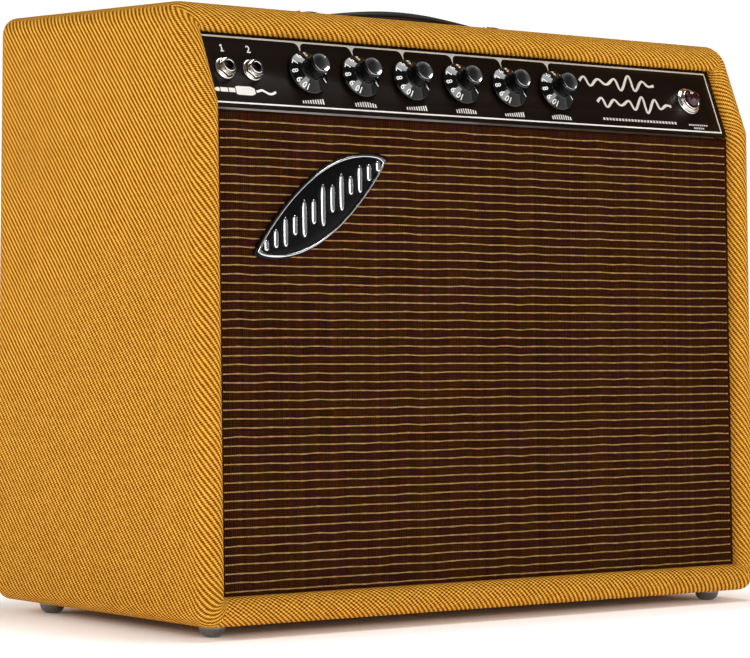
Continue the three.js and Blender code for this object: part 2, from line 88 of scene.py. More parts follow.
def angle_from_upright(outward):
    return math.atan2(outward.z, -outward.y)


# The front edge leans back a little, then slopes back more beside the control panel.
LEAN = angle_from_upright(axis_of("cone_travel"))
SLOPE = angle_from_upright(axis_of("volume_turn"))
BREAK_Z = 341.0
OUTER_CORNER, INNER_CORNER = 12.0, 0.8
OUTER_EDGE, INNER_EDGE, BACK_EDGE = 11.0, 8.0, 5.0
LEAN_FROM_Z = FLOOR_Z - INNER_EDGE


def front_edge_y(z):
    leaning = min(z, BREAK_Z) - LEAN_FROM_Z
    sloping = max(z - BREAK_Z, 0)
    return FRONT + leaning * math.tan(LEAN) + sloping * math.tan(SLOPE)


def face_frame(origin, outward):
    """Local X is the object's, local Y runs up the face and local Z points out of it."""
    out = Vector(outward).normalized()
    up = out.cross(Vector((1, 0, 0)))
    turn = Matrix((Vector((1, 0, 0)), up, out)).transposed()
    return Matrix.Translation(origin) @ turn.to_4x4()


CONTROL_T = 24.0
KNOBS = ["volume", "treble", "bass", "reverb", "speed", "intensity"]
KNOB_XS = [JOINTS[f"{name}_turn"]["pos_m"][0] / MM for name in KNOBS]
JACK_XS = [-219.0, -196.8]
PILOT_X = 203.3
BUSH_HOLE, PILOT_HOLE = 5.0, 7.9

first_knob = Vector(JOINTS["volume_turn"]["pos_m"]) / MM
panel_up = axis_of("volume_turn").cross(Vector((1, 0, 0)))
panel_foot = first_knob - CONTROL_T * panel_up
PANEL = face_frame((0, panel_foot.y, panel_foot.z), axis_of("volume_turn"))
LEANING = face_frame((0, front_edge_y(UNDERSIDE), UNDERSIDE), axis_of("cone_travel"))
REAR = face_frame((0, 98, 361), (0, 1, 0))
FUSE_X, SWITCH_X = 152.0, 122.0
SPEAKER_JACK_X, PEDAL_JACK_X = -70.0, -112.0

CLOTH_N = -8.0
SPEAKER_S = 167.5
BAFFLE_BACK_N = -22.2


# ---- Shapes ------------------------------------------------------------------------------
class Shape:
    """Points and faces in millimetres, each face with a material number and its UVs."""

    def __init__(self):
        self.points, self.faces, self.paints, self.uvs = [], [], [], []

    def add(self, part, place=None, paint=0, uvs=None):
        points, faces = part
        place = place or Matrix()
        start = len(self.points)
        self.points += [place @ Vector(point) for point in points]
        self.faces += [[start + i for i in face] for face in faces]
        self.paints += [paint] * len(faces)
        self.uvs += uvs or [[(0, 0)] * len(face) for face in faces]
        return self


def at(x, y, z=0.0, turn=0.0):
    return Matrix.Translation((x, y, z)) @ Matrix.Rotation(turn, 4, "Z")


def turned(profile, sides=48, closed=False, flute=None):
    """(radius, height) points turned about local Z. flute(angle, height) is added to the radius."""
    points, rows = [], []
    for radius, height in profile:
        if radius < 1e-6:
            rows.append([len(points)] * sides)
            points.append((0, 0, height))
            continue
        rows.append(range(len(points), len(points) + sides))
        for k in range(sides):
            angle = 2 * math.pi * k / sides
            r = radius + (flute(angle, height) if flute else 0)
            points.append((r * math.cos(angle), r * math.sin(angle), height))
    pairs = list(zip(rows, rows[1:])) + ([(rows[-1], rows[0])] if closed else [])
    faces = []
    for low, high in pairs:
        for k in range(sides):
            m = (k + 1) % sides
            corners = [low[k], low[m], high[m], high[k]]
            face = [c for i, c in enumerate(corners) if c != corners[i - 1]]
            if len(face) > 2:
                faces.append(face)
    return points, faces


def rounded(profile, radius=0.4, steps=3):
    """A profile with each inner corner rounded, leaving its two ends where they are."""
    made = [profile[0]]
    for before, corner, after in zip(profile, profile[1:], profile[2:]):
        here = Vector(corner)
        back, ahead = Vector(before) - here, Vector(after) - here
        reach = min(radius, back.length * 0.45, ahead.length * 0.45)
        a, b = here + back.normalized() * reach, here + ahead.normalized() * reach
        for i in range(steps + 1):
            t = i / steps
            point = a * (1 - t) ** 2 + here * (2 * t * (1 - t)) + b * t * t
            made.append((max(point.x, 0.0), point.y))
    return made + [profile[-1]]


def boxed(low, high, radius=0.5, steps=2):
    bm = bmesh.new()
    bmesh.ops.create_cube(bm, size=1)
    low, high = Vector(low), Vector(high)
    for vertex in bm.verts:
        vertex.co = Vector([lo + (hi - lo) * (c + 0.5) for lo, hi, c in zip(low, high, vertex.co)])
    if radius:
        bmesh.ops.bevel(bm, geom=bm.edges[:], offset=radius, segments=steps, profile=0.5, affect="EDGES")
    return from_bmesh(bm)


def from_bmesh(bm):
    bm.verts.index_update()
    part = [tuple(v.co) for v in bm.verts], [[v.index for v in face.verts] for face in bm.faces]
    bm.free()
    return part


def from_curve(curve):
    holder = bpy.data.objects.new("holder", curve)
    mesh = bpy.data.meshes.new_from_object(holder)
    part = [tuple(v.co) for v in mesh.vertices], [list(face.vertices) for face in mesh.polygons]
    bpy.data.objects.remove(holder)
    bpy.data.meshes.remove(mesh)
    bpy.data.curves.remove(curve)
    return part


def slab(outlines, depth, round_by=0.0, steps=2):
    """Closed outlines filled from z = 0 to depth, those inside another as holes."""
    curve = bpy.data.curves.new("outline", "CURVE")
    curve.dimensions = "2D"
    curve.fill_mode = "BOTH"
    curve.extrude = depth / 2 - round_by
    curve.bevel_depth = round_by
    curve.bevel_resolution = steps
    curve.offset = -round_by
    for outline in outlines:
        spline = curve.splines.new("POLY")
        spline.points.add(len(outline) - 1)
        for point, (x, y) in zip(spline.points, outline):
            point.co = (x, y, 0, 1)
        spline.use_cyclic_u = True
    points, faces = from_curve(curve)
    return [(x, y, z + depth / 2) for x, y, z in points], faces


def figure(text, height, depth):
    """A numeral, centred, standing up local Y, from z = 0 to depth."""
    curve = bpy.data.curves.new("figure", "FONT")
    curve.body = text
    curve.align_x, curve.align_y = "CENTER", "CENTER"
    curve.size = height / 0.73
    curve.extrude = depth / 2
    curve.resolution_u = 3
    curve.offset = 0.02 * height
    points, faces = from_curve(curve)
    return [(x, y, z + depth / 2) for x, y, z in points], faces


def circle(x, y, radius, sides=32, start=0.0):
    angles = [start + 2 * math.pi * k / sides for k in range(sides)]
    return [(x + radius * math.cos(a), y + radius * math.sin(a)) for a in angles]


def arc(x, y, radius, start, end, steps=8):
    angles = [start + (end - start) * k / steps for k in range(steps + 1)]
    return [(x + radius * math.cos(a), y + radius * math.sin(a)) for a in angles]


def rectangle(left, low, right, high, radius=0.0, steps=5):
    if not radius:
        return [(left, low), (right, low), (right, high), (left, high)]
    quarter = math.pi / 2
    corners = [(right, high, 0), (left, high, 1), (left, low, 2), (right, low, 3)]
    outline = []
    for x, y, turn in corners:
        cx = x - radius if x == right else x + radius
        cy = y - radius if y == high else y + radius
        outline += arc(cx, cy, radius, turn * quarter, (turn + 1) * quarter, steps)
    return outline


def ribbon(points, widths):
    """The outline of a flat stroke along points, with a width at each."""
    left, right = [], []
    for i, (x, y) in enumerate(points):
        (x0, y0), (x1, y1) = points[max(i - 1, 0)], points[min(i + 1, len(points) - 1)]
        length = math.hypot(x1 - x0, y1 - y0) or 1
        nx, ny = -(y1 - y0) / length, (x1 - x0) / length
        half = widths[i] / 2
        left.append((x + nx * half, y + ny * half))
        right.append((x - nx * half, y - ny * half))
    return left + right[::-1]


def ring_faces(rings, sides, closed=False):
    """Faces between rings of the same number of points, back to the first ring if closed."""
    faces = []
    for i in range(rings if closed else rings - 1):
        here, there = i * sides, (i + 1) % rings * sides
        for k in range(sides):
            m = (k + 1) % sides
            faces.append([here + k, here + m, there + m, there + k])
    return faces


def tube(points, radius, sides=8, closed=False):
    """A round tube along points. radius is a number, or one for each point."""
    points = [Vector(p) for p in points]
    radii = radius if isinstance(radius, list) else [radius] * len(points)
    count = len(points)
    made = []
    normal = None
    for i, point in enumerate(points):
        before = points[i - 1] if i or closed else point
        after = points[(i + 1) % count] if i < count - 1 or closed else point
        along = (after - before).normalized()
        if normal is None:
            normal = along.orthogonal().normalized()
        normal = (normal - along * normal.dot(along)).normalized()
        side = along.cross(normal)
        for k in range(sides):
            a = 2 * math.pi * k / sides
            made.append(tuple(point + (normal * math.cos(a) + side * math.sin(a)) * radii[i]))
    faces = ring_faces(count, sides, closed)
    if not closed:
        faces.append(list(range(sides))[::-1])
        faces.append([(count - 1) * sides + k for k in range(sides)])
    return made, faces


def planar_uvs(part):
    """UVs in millimetres across each face as seen from outside, by the way that it faces."""
    points, faces = part
    uvs = []
    for face in faces:
        corners = [Vector(points[i]) for i in face]
        normal = (corners[1] - corners[0]).cross(corners[2] - corners[0])
        sizes = [abs(c) for c in normal]
        axis = sizes.index(max(sizes))
        sign = 1 if normal[axis] > 0 else -1
        if axis == 0:
            uvs.append([(sign * c.y, c.z) for c in corners])
        elif axis == 1:
            uvs.append([(-sign * c.x, c.z) for c in corners])
        else:
            uvs.append([(c.x, sign * c.y) for c in corners])
    return uvs


def linked(name, data):
    thing = bpy.data.objects.new(name, data)
    bpy.context.scene.collection.objects.link(thing)
    return thing


def make(name, shape, materials, body="cabinet", place=None, stands_for=(), sharp=35):
    """A piece in the row frame from a shape or one part, riding on a body if one is given."""
    shape = shape if isinstance(shape, Shape) else single(shape)
    place = place or Matrix()
    mesh = bpy.data.meshes.new(name)
    mesh.from_pydata([(place @ p) * MM for p in shape.points], [], shape.faces)
    layer = mesh.uv_layers.new(name="weave")
    layer.data.foreach_set("uv", [c for face in shape.uvs for uv in face for c in uv])
    mesh.polygons.foreach_set("material_index", shape.paints)
    bm = bmesh.new()
    bm.from_mesh(mesh)
    bmesh.ops.remove_doubles(bm, verts=bm.verts, dist=2e-6)
    bmesh.ops.recalc_face_normals(bm, faces=bm.faces)
    bm.to_mesh(mesh)
    bm.free()
    mesh.shade_smooth()
    mesh.set_sharp_from_angle(angle=math.radians(sharp))
    for material in materials:
        mesh.materials.append(material)
    piece = linked(name, mesh)
    if stands_for:
        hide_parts(*stands_for)
    if body:
        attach(piece, body)
    return piece


def single(part, place=None):
    return Shape().add(part, place)


# ---- Materials ---------------------------------------------------------------------------
class Nodes:
    """A node tree, with short ways to add and join its nodes."""

    def __init__(self, tree):
        self.tree = tree

    def node(self, kind, *values, **settings):
        node = self.tree.nodes.new("ShaderNode" + kind)
        for key, value in settings.items():
            setattr(node, key, value)
        for socket, value in zip(node.inputs, values):
            if isinstance(value, bpy.types.NodeSocket):
                self.tree.links.new(value, socket)
            elif value is not None:
                socket.default_value = value
        return node

    def math(self, operation, *values):
        return self.node("Math", *values, operation=operation).outputs[0]

    def times(self, *values):
        return reduce(lambda a, b: self.math("MULTIPLY", a, b), values)

    def plus(self, *values):
        return reduce(lambda a, b: self.math("ADD", a, b), values)

    def scaled(self, vector, factor):
        node = self.node("VectorMath", vector, operation="SCALE")
        if isinstance(factor, bpy.types.NodeSocket):
            self.tree.links.new(factor, node.inputs["Scale"])
        else:
            node.inputs["Scale"].default_value = factor
        return node.outputs[0]

    def wave(self, cycles):
        """From 0 to 1 and back, once for each whole number in cycles."""
        turn = self.math("MULTIPLY", cycles, 2 * math.pi)
        return self.math("MULTIPLY_ADD", self.math("COSINE", turn), 0.5, 0.5)

    def object_mm(self):
        return self.scaled(self.node("TexCoord").outputs["Object"], 1 / MM)

    def split(self, vector):
        return self.node("SeparateXYZ", vector).outputs

    def combine(self, *values):
        return self.node("CombineXYZ", *values).outputs[0]

    def weave_uv(self):
        return self.node("UVMap", uv_map="weave").outputs[0]

    def stretch(self, vector, *factors):
        return self.node("VectorMath", vector, factors, operation="MULTIPLY").outputs[0]

    def noise(self, vector, scale, detail=2.0, roughness=0.5):
        return self.node("TexNoise", vector, None, scale, detail, roughness).outputs["Fac"]

    def random(self, *values):
        """A number from 0 to 1 for each whole-number cell of two or three values."""
        whole = [self.math("FLOOR", value) for value in values]
        return self.node("TexWhiteNoise", self.combine(*whole)).outputs["Value"]

    def ramp(self, factor, *stops, blend="LINEAR"):
        node = self.node("ValToRGB", factor)
        node.color_ramp.interpolation = blend
        elements = node.color_ramp.elements
        while len(elements) < len(stops):
            elements.new(0.5)
        for element, (place, colour) in zip(elements, stops):
            element.position = place
            element.color = (*colour, 1)
        return node.outputs["Color"]

    def mix(self, factor, a, b, blend="MIX"):
        node = self.node("Mix", data_type="RGBA", blend_type=blend)
        for socket, value in zip((node.inputs[0], node.inputs[6], node.inputs[7]), (factor, a, b)):
            if isinstance(value, bpy.types.NodeSocket):
                self.tree.links.new(value, socket)
            else:
                socket.default_value = value if socket.type == "VALUE" else (*value, 1)
        return node.outputs[2]

    def shade(self, colour, brightness):
        """A colour made lighter or darker by a number."""
        grey = self.node("CombineColor", brightness, brightness, brightness).outputs[0]
        return self.mix(1.0, colour, grey, "MULTIPLY")

    def between(self, factor, low, high):
        return self.math("MULTIPLY_ADD", factor, high - low, low)


class Finish(Nodes):
    """A material with one principled shader."""

    def __init__(self, name, **values):
        self.material = bpy.data.materials.new(name)
        self.material.use_nodes = True
        super().__init__(self.material.node_tree)
        self.shader = self.tree.nodes["Principled BSDF"]
        self.set(**values)

    def set(self, **values):
        for name, value in values.items():
            socket = self.shader.inputs[name.replace("_", " ")]
            if isinstance(value, bpy.types.NodeSocket):
                self.tree.links.new(value, socket)
            elif socket.type == "RGBA":
                socket.default_value = (*value, 1)
            else:
                socket.default_value = value
        return self

    def bump(self, height, distance_mm, strength=1.0):
        node = self.node("Bump")
        self.tree.links.new(height, node.inputs["Height"])
        node.inputs["Distance"].default_value = distance_mm * MM
        node.inputs["Strength"].default_value = strength
        self.tree.links.new(node.outputs[0], self.shader.inputs["Normal"])
        return self


# A twill: its ribs climb a quarter of their width with each pick. Cycles per millimetre across,
# and the height of a pick.
RIB_ACROSS, PICK = 0.238, 1.19


def tweed():
    f = Finish("tweed", Specular_IOR_Level=0.04)
    uv = f.weave_uv()
    u, v, _ = f.split(uv)
    waver = f.between(f.noise(uv, 0.5, 2.0), -0.5, 0.5)
    drift = f.between(f.noise(uv, 0.03), -0.25, 0.25)
    picks = f.plus(f.math("DIVIDE", v, PICK), f.times(waver, 0.25))
    row = f.math("FLOOR", picks)
    across = f.math("SUBTRACT", f.math("FRACT", picks), 0.5)
    crown = f.math("SUBTRACT", 1.0, f.times(across, across, 4.0))
    phase = f.plus(f.times(u, RIB_ACROSS), f.times(row, 0.25), drift, f.times(waver, 0.14))
    rib = f.wave(phase)
    strand = f.between(f.random(phase, row), -0.5, 0.5)
    end = f.between(f.random(f.times(u, 4 * RIB_ACROSS), row), -0.5, 0.5)
    bead = f.between(f.wave(f.math("SUBTRACT", phase, picks)), -0.5, 0.5)
    gold = f.plus(f.times(f.between(rib, 0.02, 0.98), f.between(crown, 0.86, 1.0)), 0.02)
    gold = f.plus(gold, f.times(bead, 0.95), f.times(strand, 0.14), f.times(end, 0.12))
    slub = f.between(f.noise(f.stretch(uv, 1.0, 0.15, 1.0), 0.12, 3.0), 0.90, 1.10)
    colour = f.ramp(
        gold,
        (0.0, (0.125, 0.022, 0.0)),
        (0.28, (0.27, 0.080, 0.0)),
        (0.62, (0.58, 0.237, 0.0)),
        (1.0, (0.94, 0.54, 0.105)),
    )
    f.set(Base_Color=f.shade(colour, slub), Roughness=0.8)
    relief = f.plus(f.times(rib, f.between(crown, 0.7, 1.0)), f.times(bead, 0.5))
    return f.bump(relief, 0.40, 0.5).material


def pine():
    f = Finish("pine", Specular_IOR_Level=0.3)
    uv = f.weave_uv()
    warp = f.noise(f.stretch(uv, 1.0, 0.08, 1.0), 0.02, 2.0)
    u, v, _ = f.split(uv)
    rings = f.wave(f.plus(f.times(u, 0.10), f.times(warp, 3.2), f.times(v, 0.0006)))
    fibre = f.noise(f.stretch(uv, 1.0, 0.03, 1.0), 1.4, 4.0)
    tone = f.plus(f.times(rings, 0.55), f.times(fibre, 0.45))
    colour = f.ramp(tone, (0.15, (0.46, 0.27, 0.12)), (0.6, (0.66, 0.45, 0.24)), (0.9, (0.74, 0.54, 0.31)))
    f.set(Base_Color=colour, Roughness=f.between(fibre, 0.55, 0.75))
    return f.bump(fibre, 0.12, 0.6).material


CLOTH_PITCH, CLOTH_BLOCK = 5.767, 12.8
CLOTH_FIRST_LINE = 22.4


def grille_fabric():
    f = Finish("grille_fabric", Specular_IOR_Level=0.03)
    uv = f.weave_uv()
    u, v, _ = f.split(uv)
    column = f.math("DIVIDE", f.plus(u, f.between(f.noise(uv, 0.25, 1.0), -0.5, 0.5)), CLOTH_BLOCK)
    row = f.math("DIVIDE", f.math("SUBTRACT", v, CLOTH_FIRST_LINE), CLOTH_PITCH)
    picks = f.times(row, 5.0)
    cell = f.random(column, row)
    pick = f.random(column, picks)
    plum, bark, olive, ink = (0.028, 0.0055, 0.0040), (0.032, 0.0080, 0.0008), (0.029, 0.0100,
            0.0010), (0.018, 0.0050, 0.0008)
    block = f.ramp(cell, (0.0, plum), (0.34, bark), (0.58, olive), (0.86, ink), blend="CONSTANT")
    line = f.ramp(pick, (0.0, plum), (0.3, bark), (0.55, olive), (0.8, (0.044, 0.0095, 0.002)),
                  blend="CONSTANT")
    colour = f.mix(0.5, block, line)
    thread = f.wave(f.math("DIVIDE", u, 1.5))
    weft = f.wave(picks)
    ends = f.random(f.math("DIVIDE", u, 1.5), 0.0)
    light = f.times(f.between(thread, 0.38, 1.45), f.between(weft, 0.42, 1.45), f.between(ends, 0.75, 1.3))
    # The cloth is darkened along each gold line, a painted shadow of the yarn on it, and lifted a little
    # between the lines.
    gold_line_shadow = f.math("POWER", f.wave(row), 6.0)
    light = f.times(light, f.between(gold_line_shadow, 1.12, 0.5))
    f.set(Base_Color=f.shade(colour, light), Roughness=0.9)
    return f.bump(f.plus(f.times(thread, 0.6), f.times(weft, 0.5)), 0.22, 0.7).material


def gold_yarn():
    f = Finish("gold_yarn", Specular_IOR_Level=0.5, Roughness=0.5)
    uv = f.weave_uv()
    u, v, _ = f.split(uv)
    block = f.random(f.math("DIVIDE", u, CLOTH_BLOCK), f.plus(v, 0.5))
    tint = f.ramp(block, (0.0, (0.39, 0.22, 0.055)), (0.4, (0.36, 0.205, 0.042)), (0.7, (0.42, 0.23,
            0.075)),
                  (0.9, (0.44, 0.20, 0.070)), blend="CONSTANT")
    twist = f.wave(f.plus(f.math("DIVIDE", u, 1.1), f.times(f.noise(f.object_mm(), 0.8), 0.8)))
    f.set(Base_Color=f.shade(tint, f.between(twist, 0.55, 1.12)))
    return f.bump(twist, 0.12, 0.8).material


def satin_paint(name, colour, roughness=0.42, speckle=6.0, depth=0.02, shine=0.45):
    f = Finish(name, Specular_IOR_Level=shine)
    grain = f.noise(f.object_mm(), speckle, 2.0)
    cloud = f.noise(f.object_mm(), 0.03, 2.0)
    tone = f.shade(colour, f.between(cloud, 0.8, 1.2))
    f.set(Base_Color=tone, Roughness=f.between(grain, roughness - 0.05, roughness + 0.07))
    return f.bump(grain, depth, 0.4).material


def gloss_plastic(name, colour, roughness=0.12, shine=0.55):
    f = Finish(name, Specular_IOR_Level=shine)
    wear = f.noise(f.object_mm(), 0.35, 4.0, 0.65)
    tone = f.shade(colour, f.between(wear, 0.85, 1.15))
    f.set(Base_Color=tone, Roughness=f.between(wear, roughness * 0.7, roughness * 1.4))
    return f.bump(f.noise(f.object_mm(), 2.0), 0.01, 0.25).material


def metal(name, colour, roughness=0.12, spread=0.06, brushed=None, anisotropic=0.0):
    """Plated or bare metal. brushed stretches its fine scratches, as factors in X, Y and Z."""
    f = Finish(name, Metallic=1.0, Anisotropic=anisotropic)
    place = f.object_mm()
    fine = f.noise(f.stretch(place, *brushed) if brushed else place, 2.2, 3.0)
    cloud = f.noise(place, 0.05, 3.0)
    tone = f.shade(colour, f.between(cloud, 0.92, 1.06))
    f.set(Base_Color=tone, Roughness=f.between(fine, max(roughness - spread, 0.02), roughness + spread))
    return f.bump(fine, 0.015 if brushed else 0.004, 0.35).material


def leather():
    f = Finish("leather", Specular_IOR_Level=0.5)
    place = f.object_mm()
    cells = f.node("TexVoronoi", feature="F1")
    f.tree.links.new(place, cells.inputs["Vector"])
    cells.inputs["Scale"].default_value = 0.9
    pebble = cells.outputs["Distance"]
    fine = f.noise(place, 2.5, 3.0)
    colour = f.ramp(f.noise(place, 0.06, 3.0), (0.3, (0.010, 0.008, 0.007)), (0.7, (0.026, 0.020, 0.016)))
    f.set(Base_Color=colour, Roughness=f.between(fine, 0.36, 0.6))
    return f.bump(f.plus(pebble, f.times(fine, 0.3)), 0.18, 0.6).material


def fibre(name, dark, light, roughness=0.75, grain=(1.0, 1.0, 1.0), scale=0.8, depth=0.15):
    """Paper, card, felt and fibre board: matted strands of one colour."""
    f = Finish(name, Specular_IOR_Level=0.25)
    strands = f.noise(f.stretch(f.object_mm(), *grain), scale, 5.0, 0.65)
    f.set(Base_Color=f.ramp(strands, (0.3, dark), (0.72, light)), Roughness=roughness)
    return f.bump(strands, depth, 0.6).material


def cone_paper():
    f = Finish("cone_paper", Specular_IOR_Level=0.2)
    strands = f.noise(f.object_mm(), 0.9, 5.0, 0.7)
    f.set(Base_Color=f.ramp(strands, (0.3, (0.016, 0.015, 0.014)), (0.7, (0.040, 0.037, 0.033))),
          Roughness=0.85)
    return f.bump(strands, 0.25, 0.6).material


def clear_glass():
    f = Finish("valve_glass", Base_Color=(0.95, 0.97, 0.97), Transmission_Weight=1.0, IOR=1.45)
    haze = f.noise(f.object_mm(), 0.08, 3.0)
    return f.set(Roughness=f.between(haze, 0.0, 0.06)).material


def jewel_glass():
    f = Finish("jewel_glass", Transmission_Weight=0.55, IOR=1.52, Specular_IOR_Level=0.7)
    depth = f.noise(f.object_mm(), 0.25, 2.0)
    f.set(Base_Color=f.ramp(depth, (0.35, (0.045, 0.003, 0.008)), (0.65, (0.11, 0.006, 0.020))))
    return f.set(Roughness=f.between(depth, 0.02, 0.08)).material


def grey(level):
    return (level, level, level)


# Half the size of the floor that gives off no light, under the cabinet, in millimetres.
SHADOW_X, SHADOW_Y = 215.0, 83.0


def floor_paint():
    """White paper that glows, a painted light, from a little way out from the cabinet so that it meets the
    white beyond; nearer the cabinet the glow fades out, a painted shadow, and warms, a painted bounce of
    light from the tweed.
    """
    f = Finish("floor_paint", Roughness=0.9, Specular_IOR_Level=0.0)
    x, y, _ = f.split(f.object_mm())
    past = [f.math("MAXIMUM", f.math("SUBTRACT", f.math("ABSOLUTE", c), half), 0.0) for c,
            half in ((x, SHADOW_X), (y, SHADOW_Y))]
    away = f.math("SQRT", f.plus(f.times(past[0], past[0]), f.times(past[1], past[1])))
    reach = f.math("DIVIDE", away, 300.0)
    # The floor's glow: none at the cabinet and full far out, a painted shadow round the cabinet's foot.
    glow = f.ramp(reach, (0.0, grey(0.0)), (0.06, grey(0.12)), (0.12, grey(0.30)), (0.22, grey(0.42)), (0.5,
            grey(0.85)))
    # The glow is warmer near the cabinet, painted light thrown back from the tweed.
    tint = f.ramp(reach, (0.0, (1.0, 0.90, 0.83)), (0.2, (1.0, 0.92, 0.87)), (0.36, (1.0, 0.98, 0.96)))
    f.set(Base_Color=f.ramp(f.noise(f.object_mm(), 0.002), (0.0, (0.93, 0.92, 0.91)), (1.0, (0.96, 0.95,
            0.94))))
    return f.set(Emission_Strength=glow, Emission_Color=tint).material


TWEED, PINE = tweed(), pine()
CLOTH, GOLD = grille_fabric(), gold_yarn()
PANEL_PAINT = satin_paint("panel_paint", (0.0070, 0.0032, 0.0018), 0.34, shine=0.20)
PRINT = satin_paint("panel_print", (0.66, 0.60, 0.53), 0.42, depth=0.01)
# A lighter copy of the panel print. On the bottom line it is a painted highlight, since that line is the
# same print catching more light. The scales, the plug mark and the jack numbers use it too.
BRIGHT_PRINT = satin_paint("bright_print", (0.88, 0.84, 0.78), 0.35, depth=0.01)
KNOB_BLACK = gloss_plastic("knob_black", (0.0022, 0.0022, 0.0022), 0.05, 0.42)
NUMERAL = gloss_plastic("numeral_paint", (0.86, 0.86, 0.82), 0.4)
MOULDED_BLACK = gloss_plastic("moulded_black", (0.014, 0.014, 0.015), 0.38)
CAP_METAL = metal("spun_aluminium", (0.60, 0.60, 0.61), 0.14, 0.04)
NICKEL = metal("nickel", (0.80, 0.76, 0.71), 0.10, 0.05)
CHROME = metal("chrome", (0.86, 0.87, 0.88), 0.06, 0.03)
FOOT_METAL = metal("foot_metal", (0.19, 0.20, 0.19), 0.30, 0.08)
BADGE_BLACK = gloss_plastic("badge_black", (0.004, 0.004, 0.0045), 0.14, 0.14)
STEEL = metal("plated_steel", (0.62, 0.61, 0.58), 0.34, 0.10, (1.0, 0.05, 1.0))
SPRING = metal("spring_steel", (0.07, 0.065, 0.06), 0.42, 0.08, (0.05, 1.0, 1.0))
ALUMINIUM = metal("can_aluminium", (0.74, 0.74, 0.74), 0.30, 0.08, (1.0, 1.0, 0.05))
IRON_BLACK = satin_paint("iron_black", (0.018, 0.018, 0.019), 0.48, 1.5, 0.08)
LAMINATION = metal("lamination", (0.20, 0.19, 0.18), 0.45, 0.10, (1.0, 20.0, 1.0))
FIBRE_BOARD = fibre("fibre_board", (0.13, 0.065, 0.022), (0.24, 0.13, 0.05), 0.62)
PLY_BLACK = fibre("baffle_ply", (0.012, 0.011, 0.010), (0.045, 0.038, 0.032), 0.8, (0.06, 1.0, 1.0))
CONE = cone_paper()
FELT = fibre("gasket_felt", (0.03, 0.026, 0.022), (0.09, 0.075, 0.06), 0.9, depth=0.3)
BAKELITE = gloss_plastic("bakelite", (0.028, 0.012, 0.007), 0.3)
CERAMIC = fibre("ceramic", (0.55, 0.52, 0.46), (0.75, 0.72, 0.65), 0.4, depth=0.03)
FERRITE = fibre("ferrite", (0.020, 0.020, 0.022), (0.055, 0.055, 0.058), 0.7, depth=0.06)
LEATHER = leather()
THREAD = fibre("thread", (0.02, 0.017, 0.014), (0.07, 0.06, 0.05), 0.6, scale=3.0)
GLASS, JEWEL = clear_glass(), jewel_glass()
ANODE = metal("anode_grey", (0.12, 0.12, 0.125), 0.5, 0.1)


# ---- Cabinet -----------------------------------------------------------------------------
TURN_IN = 22.0
SKIN = 0.6


def board_section():
    """(across, back, from_back) round one board: 0 across is the inner face, BOARD the outer."""
    quarter = math.pi / 2
    outer = [(BOARD - OUTER_EDGE + OUTER_EDGE * math.sin(a), OUTER_EDGE - OUTER_EDGE * math.cos(a), False)
             for a in [quarter * k / 9 for k in range(10)]]
    back = [(BOARD - BACK_EDGE + BACK_EDGE * math.sin(a), BACK_EDGE - BACK_EDGE * math.cos(a), True)
            for a in [quarter * (1 - k / 5) for k in range(6)]]
    lip = [(1.3, 0.0, True), (0.4, 0.4, True), (0.0, 1.3, True), (0.0, TURN_IN, True), (SKIN, TURN_IN,
            True)]
    inner_start = [(SKIN, TURN_IN, False), (0.0, TURN_IN, False)]
    inner = [(INNER_EDGE - INNER_EDGE * math.sin(a), INNER_EDGE - INNER_EDGE * math.cos(a), False)
             for a in [quarter * (1 - k / 8) for k in range(8)]]
    section = outer + back + lip + inner_start + inner
    fold, bare = len(outer) - 1, len(outer) + len(back) + len(lip) - 1
    return section, fold, bare


SECTION, FOLD, BARE = board_section()


def frame_stations():
    """Round the frame from the bottom of the right side: inner and outer (x, z), how far along
    its board, and which board it closes."""
    half = (TOP - UNDERSIDE) / 2
    middle = UNDERSIDE + half
    rises = [40, 170, 300, 308, 316, 324, 332, 341, 350, 359, 368, 377]
    stations = []

    def straight(side, x_in, x_out, z_in, z_out):
        stations.append(((x_in, z_in), (x_out, z_out), side, 0.0))

    def corner(side_x, side_z, start, boards, seam=6):
        for k in range(13):
            a = start + k / 12 * math.pi / 2
            inner, outer = [
                (side_x * (HALF_WIDTH - inset - r) + r * math.cos(a),
                 middle + side_z * (half - inset - r) + r * math.sin(a))
                for inset, r in ((BOARD, INNER_CORNER), (0.0, OUTER_CORNER))
            ]
            turn = k if k <= seam else 12 - k
            stations.append((inner, outer, boards[0] if k < seam else boards[1], turn / 12 * math.pi / 2))

    for z in rises:
        straight("right", INNER_X, HALF_WIDTH, z, z)
    corner(1, 1, 0, ("right", "top"))
    corner(-1, 1, math.pi / 2, ("top", "left"))
    for z in rises[::-1]:
        straight("left", -INNER_X, -HALF_WIDTH, z, z)
    corner(-1, -1, math.pi, ("left", "bottom"), 12)
    corner(1, -1, 1.5 * math.pi, ("bottom", "right"))
    return stations


def edge_angle(z):
    """The front edge's lean, passing smoothly into its slope, as the cloth on it turns."""
    t = min(max((z - BREAK_Z + 22) / 36, 0.0), 1.0)
    return LEAN + (SLOPE - LEAN) * t * t * (3 - 2 * t)


def station_points(station):
    (xi, zi), (xo, zo), _, _ = station
    points = []
    for across, back, from_back in SECTION:
        share = across / BOARD
        x, z = xi + (xo - xi) * share, zi + (zo - zi) * share
        points.append(Vector((x, BACK - back if from_back else front_edge_y(z) + back, z)))
    return points


EDGE_REACH = {"left": 1.06, "right": 1.2, "top": 1.0, "bottom": 0.8}


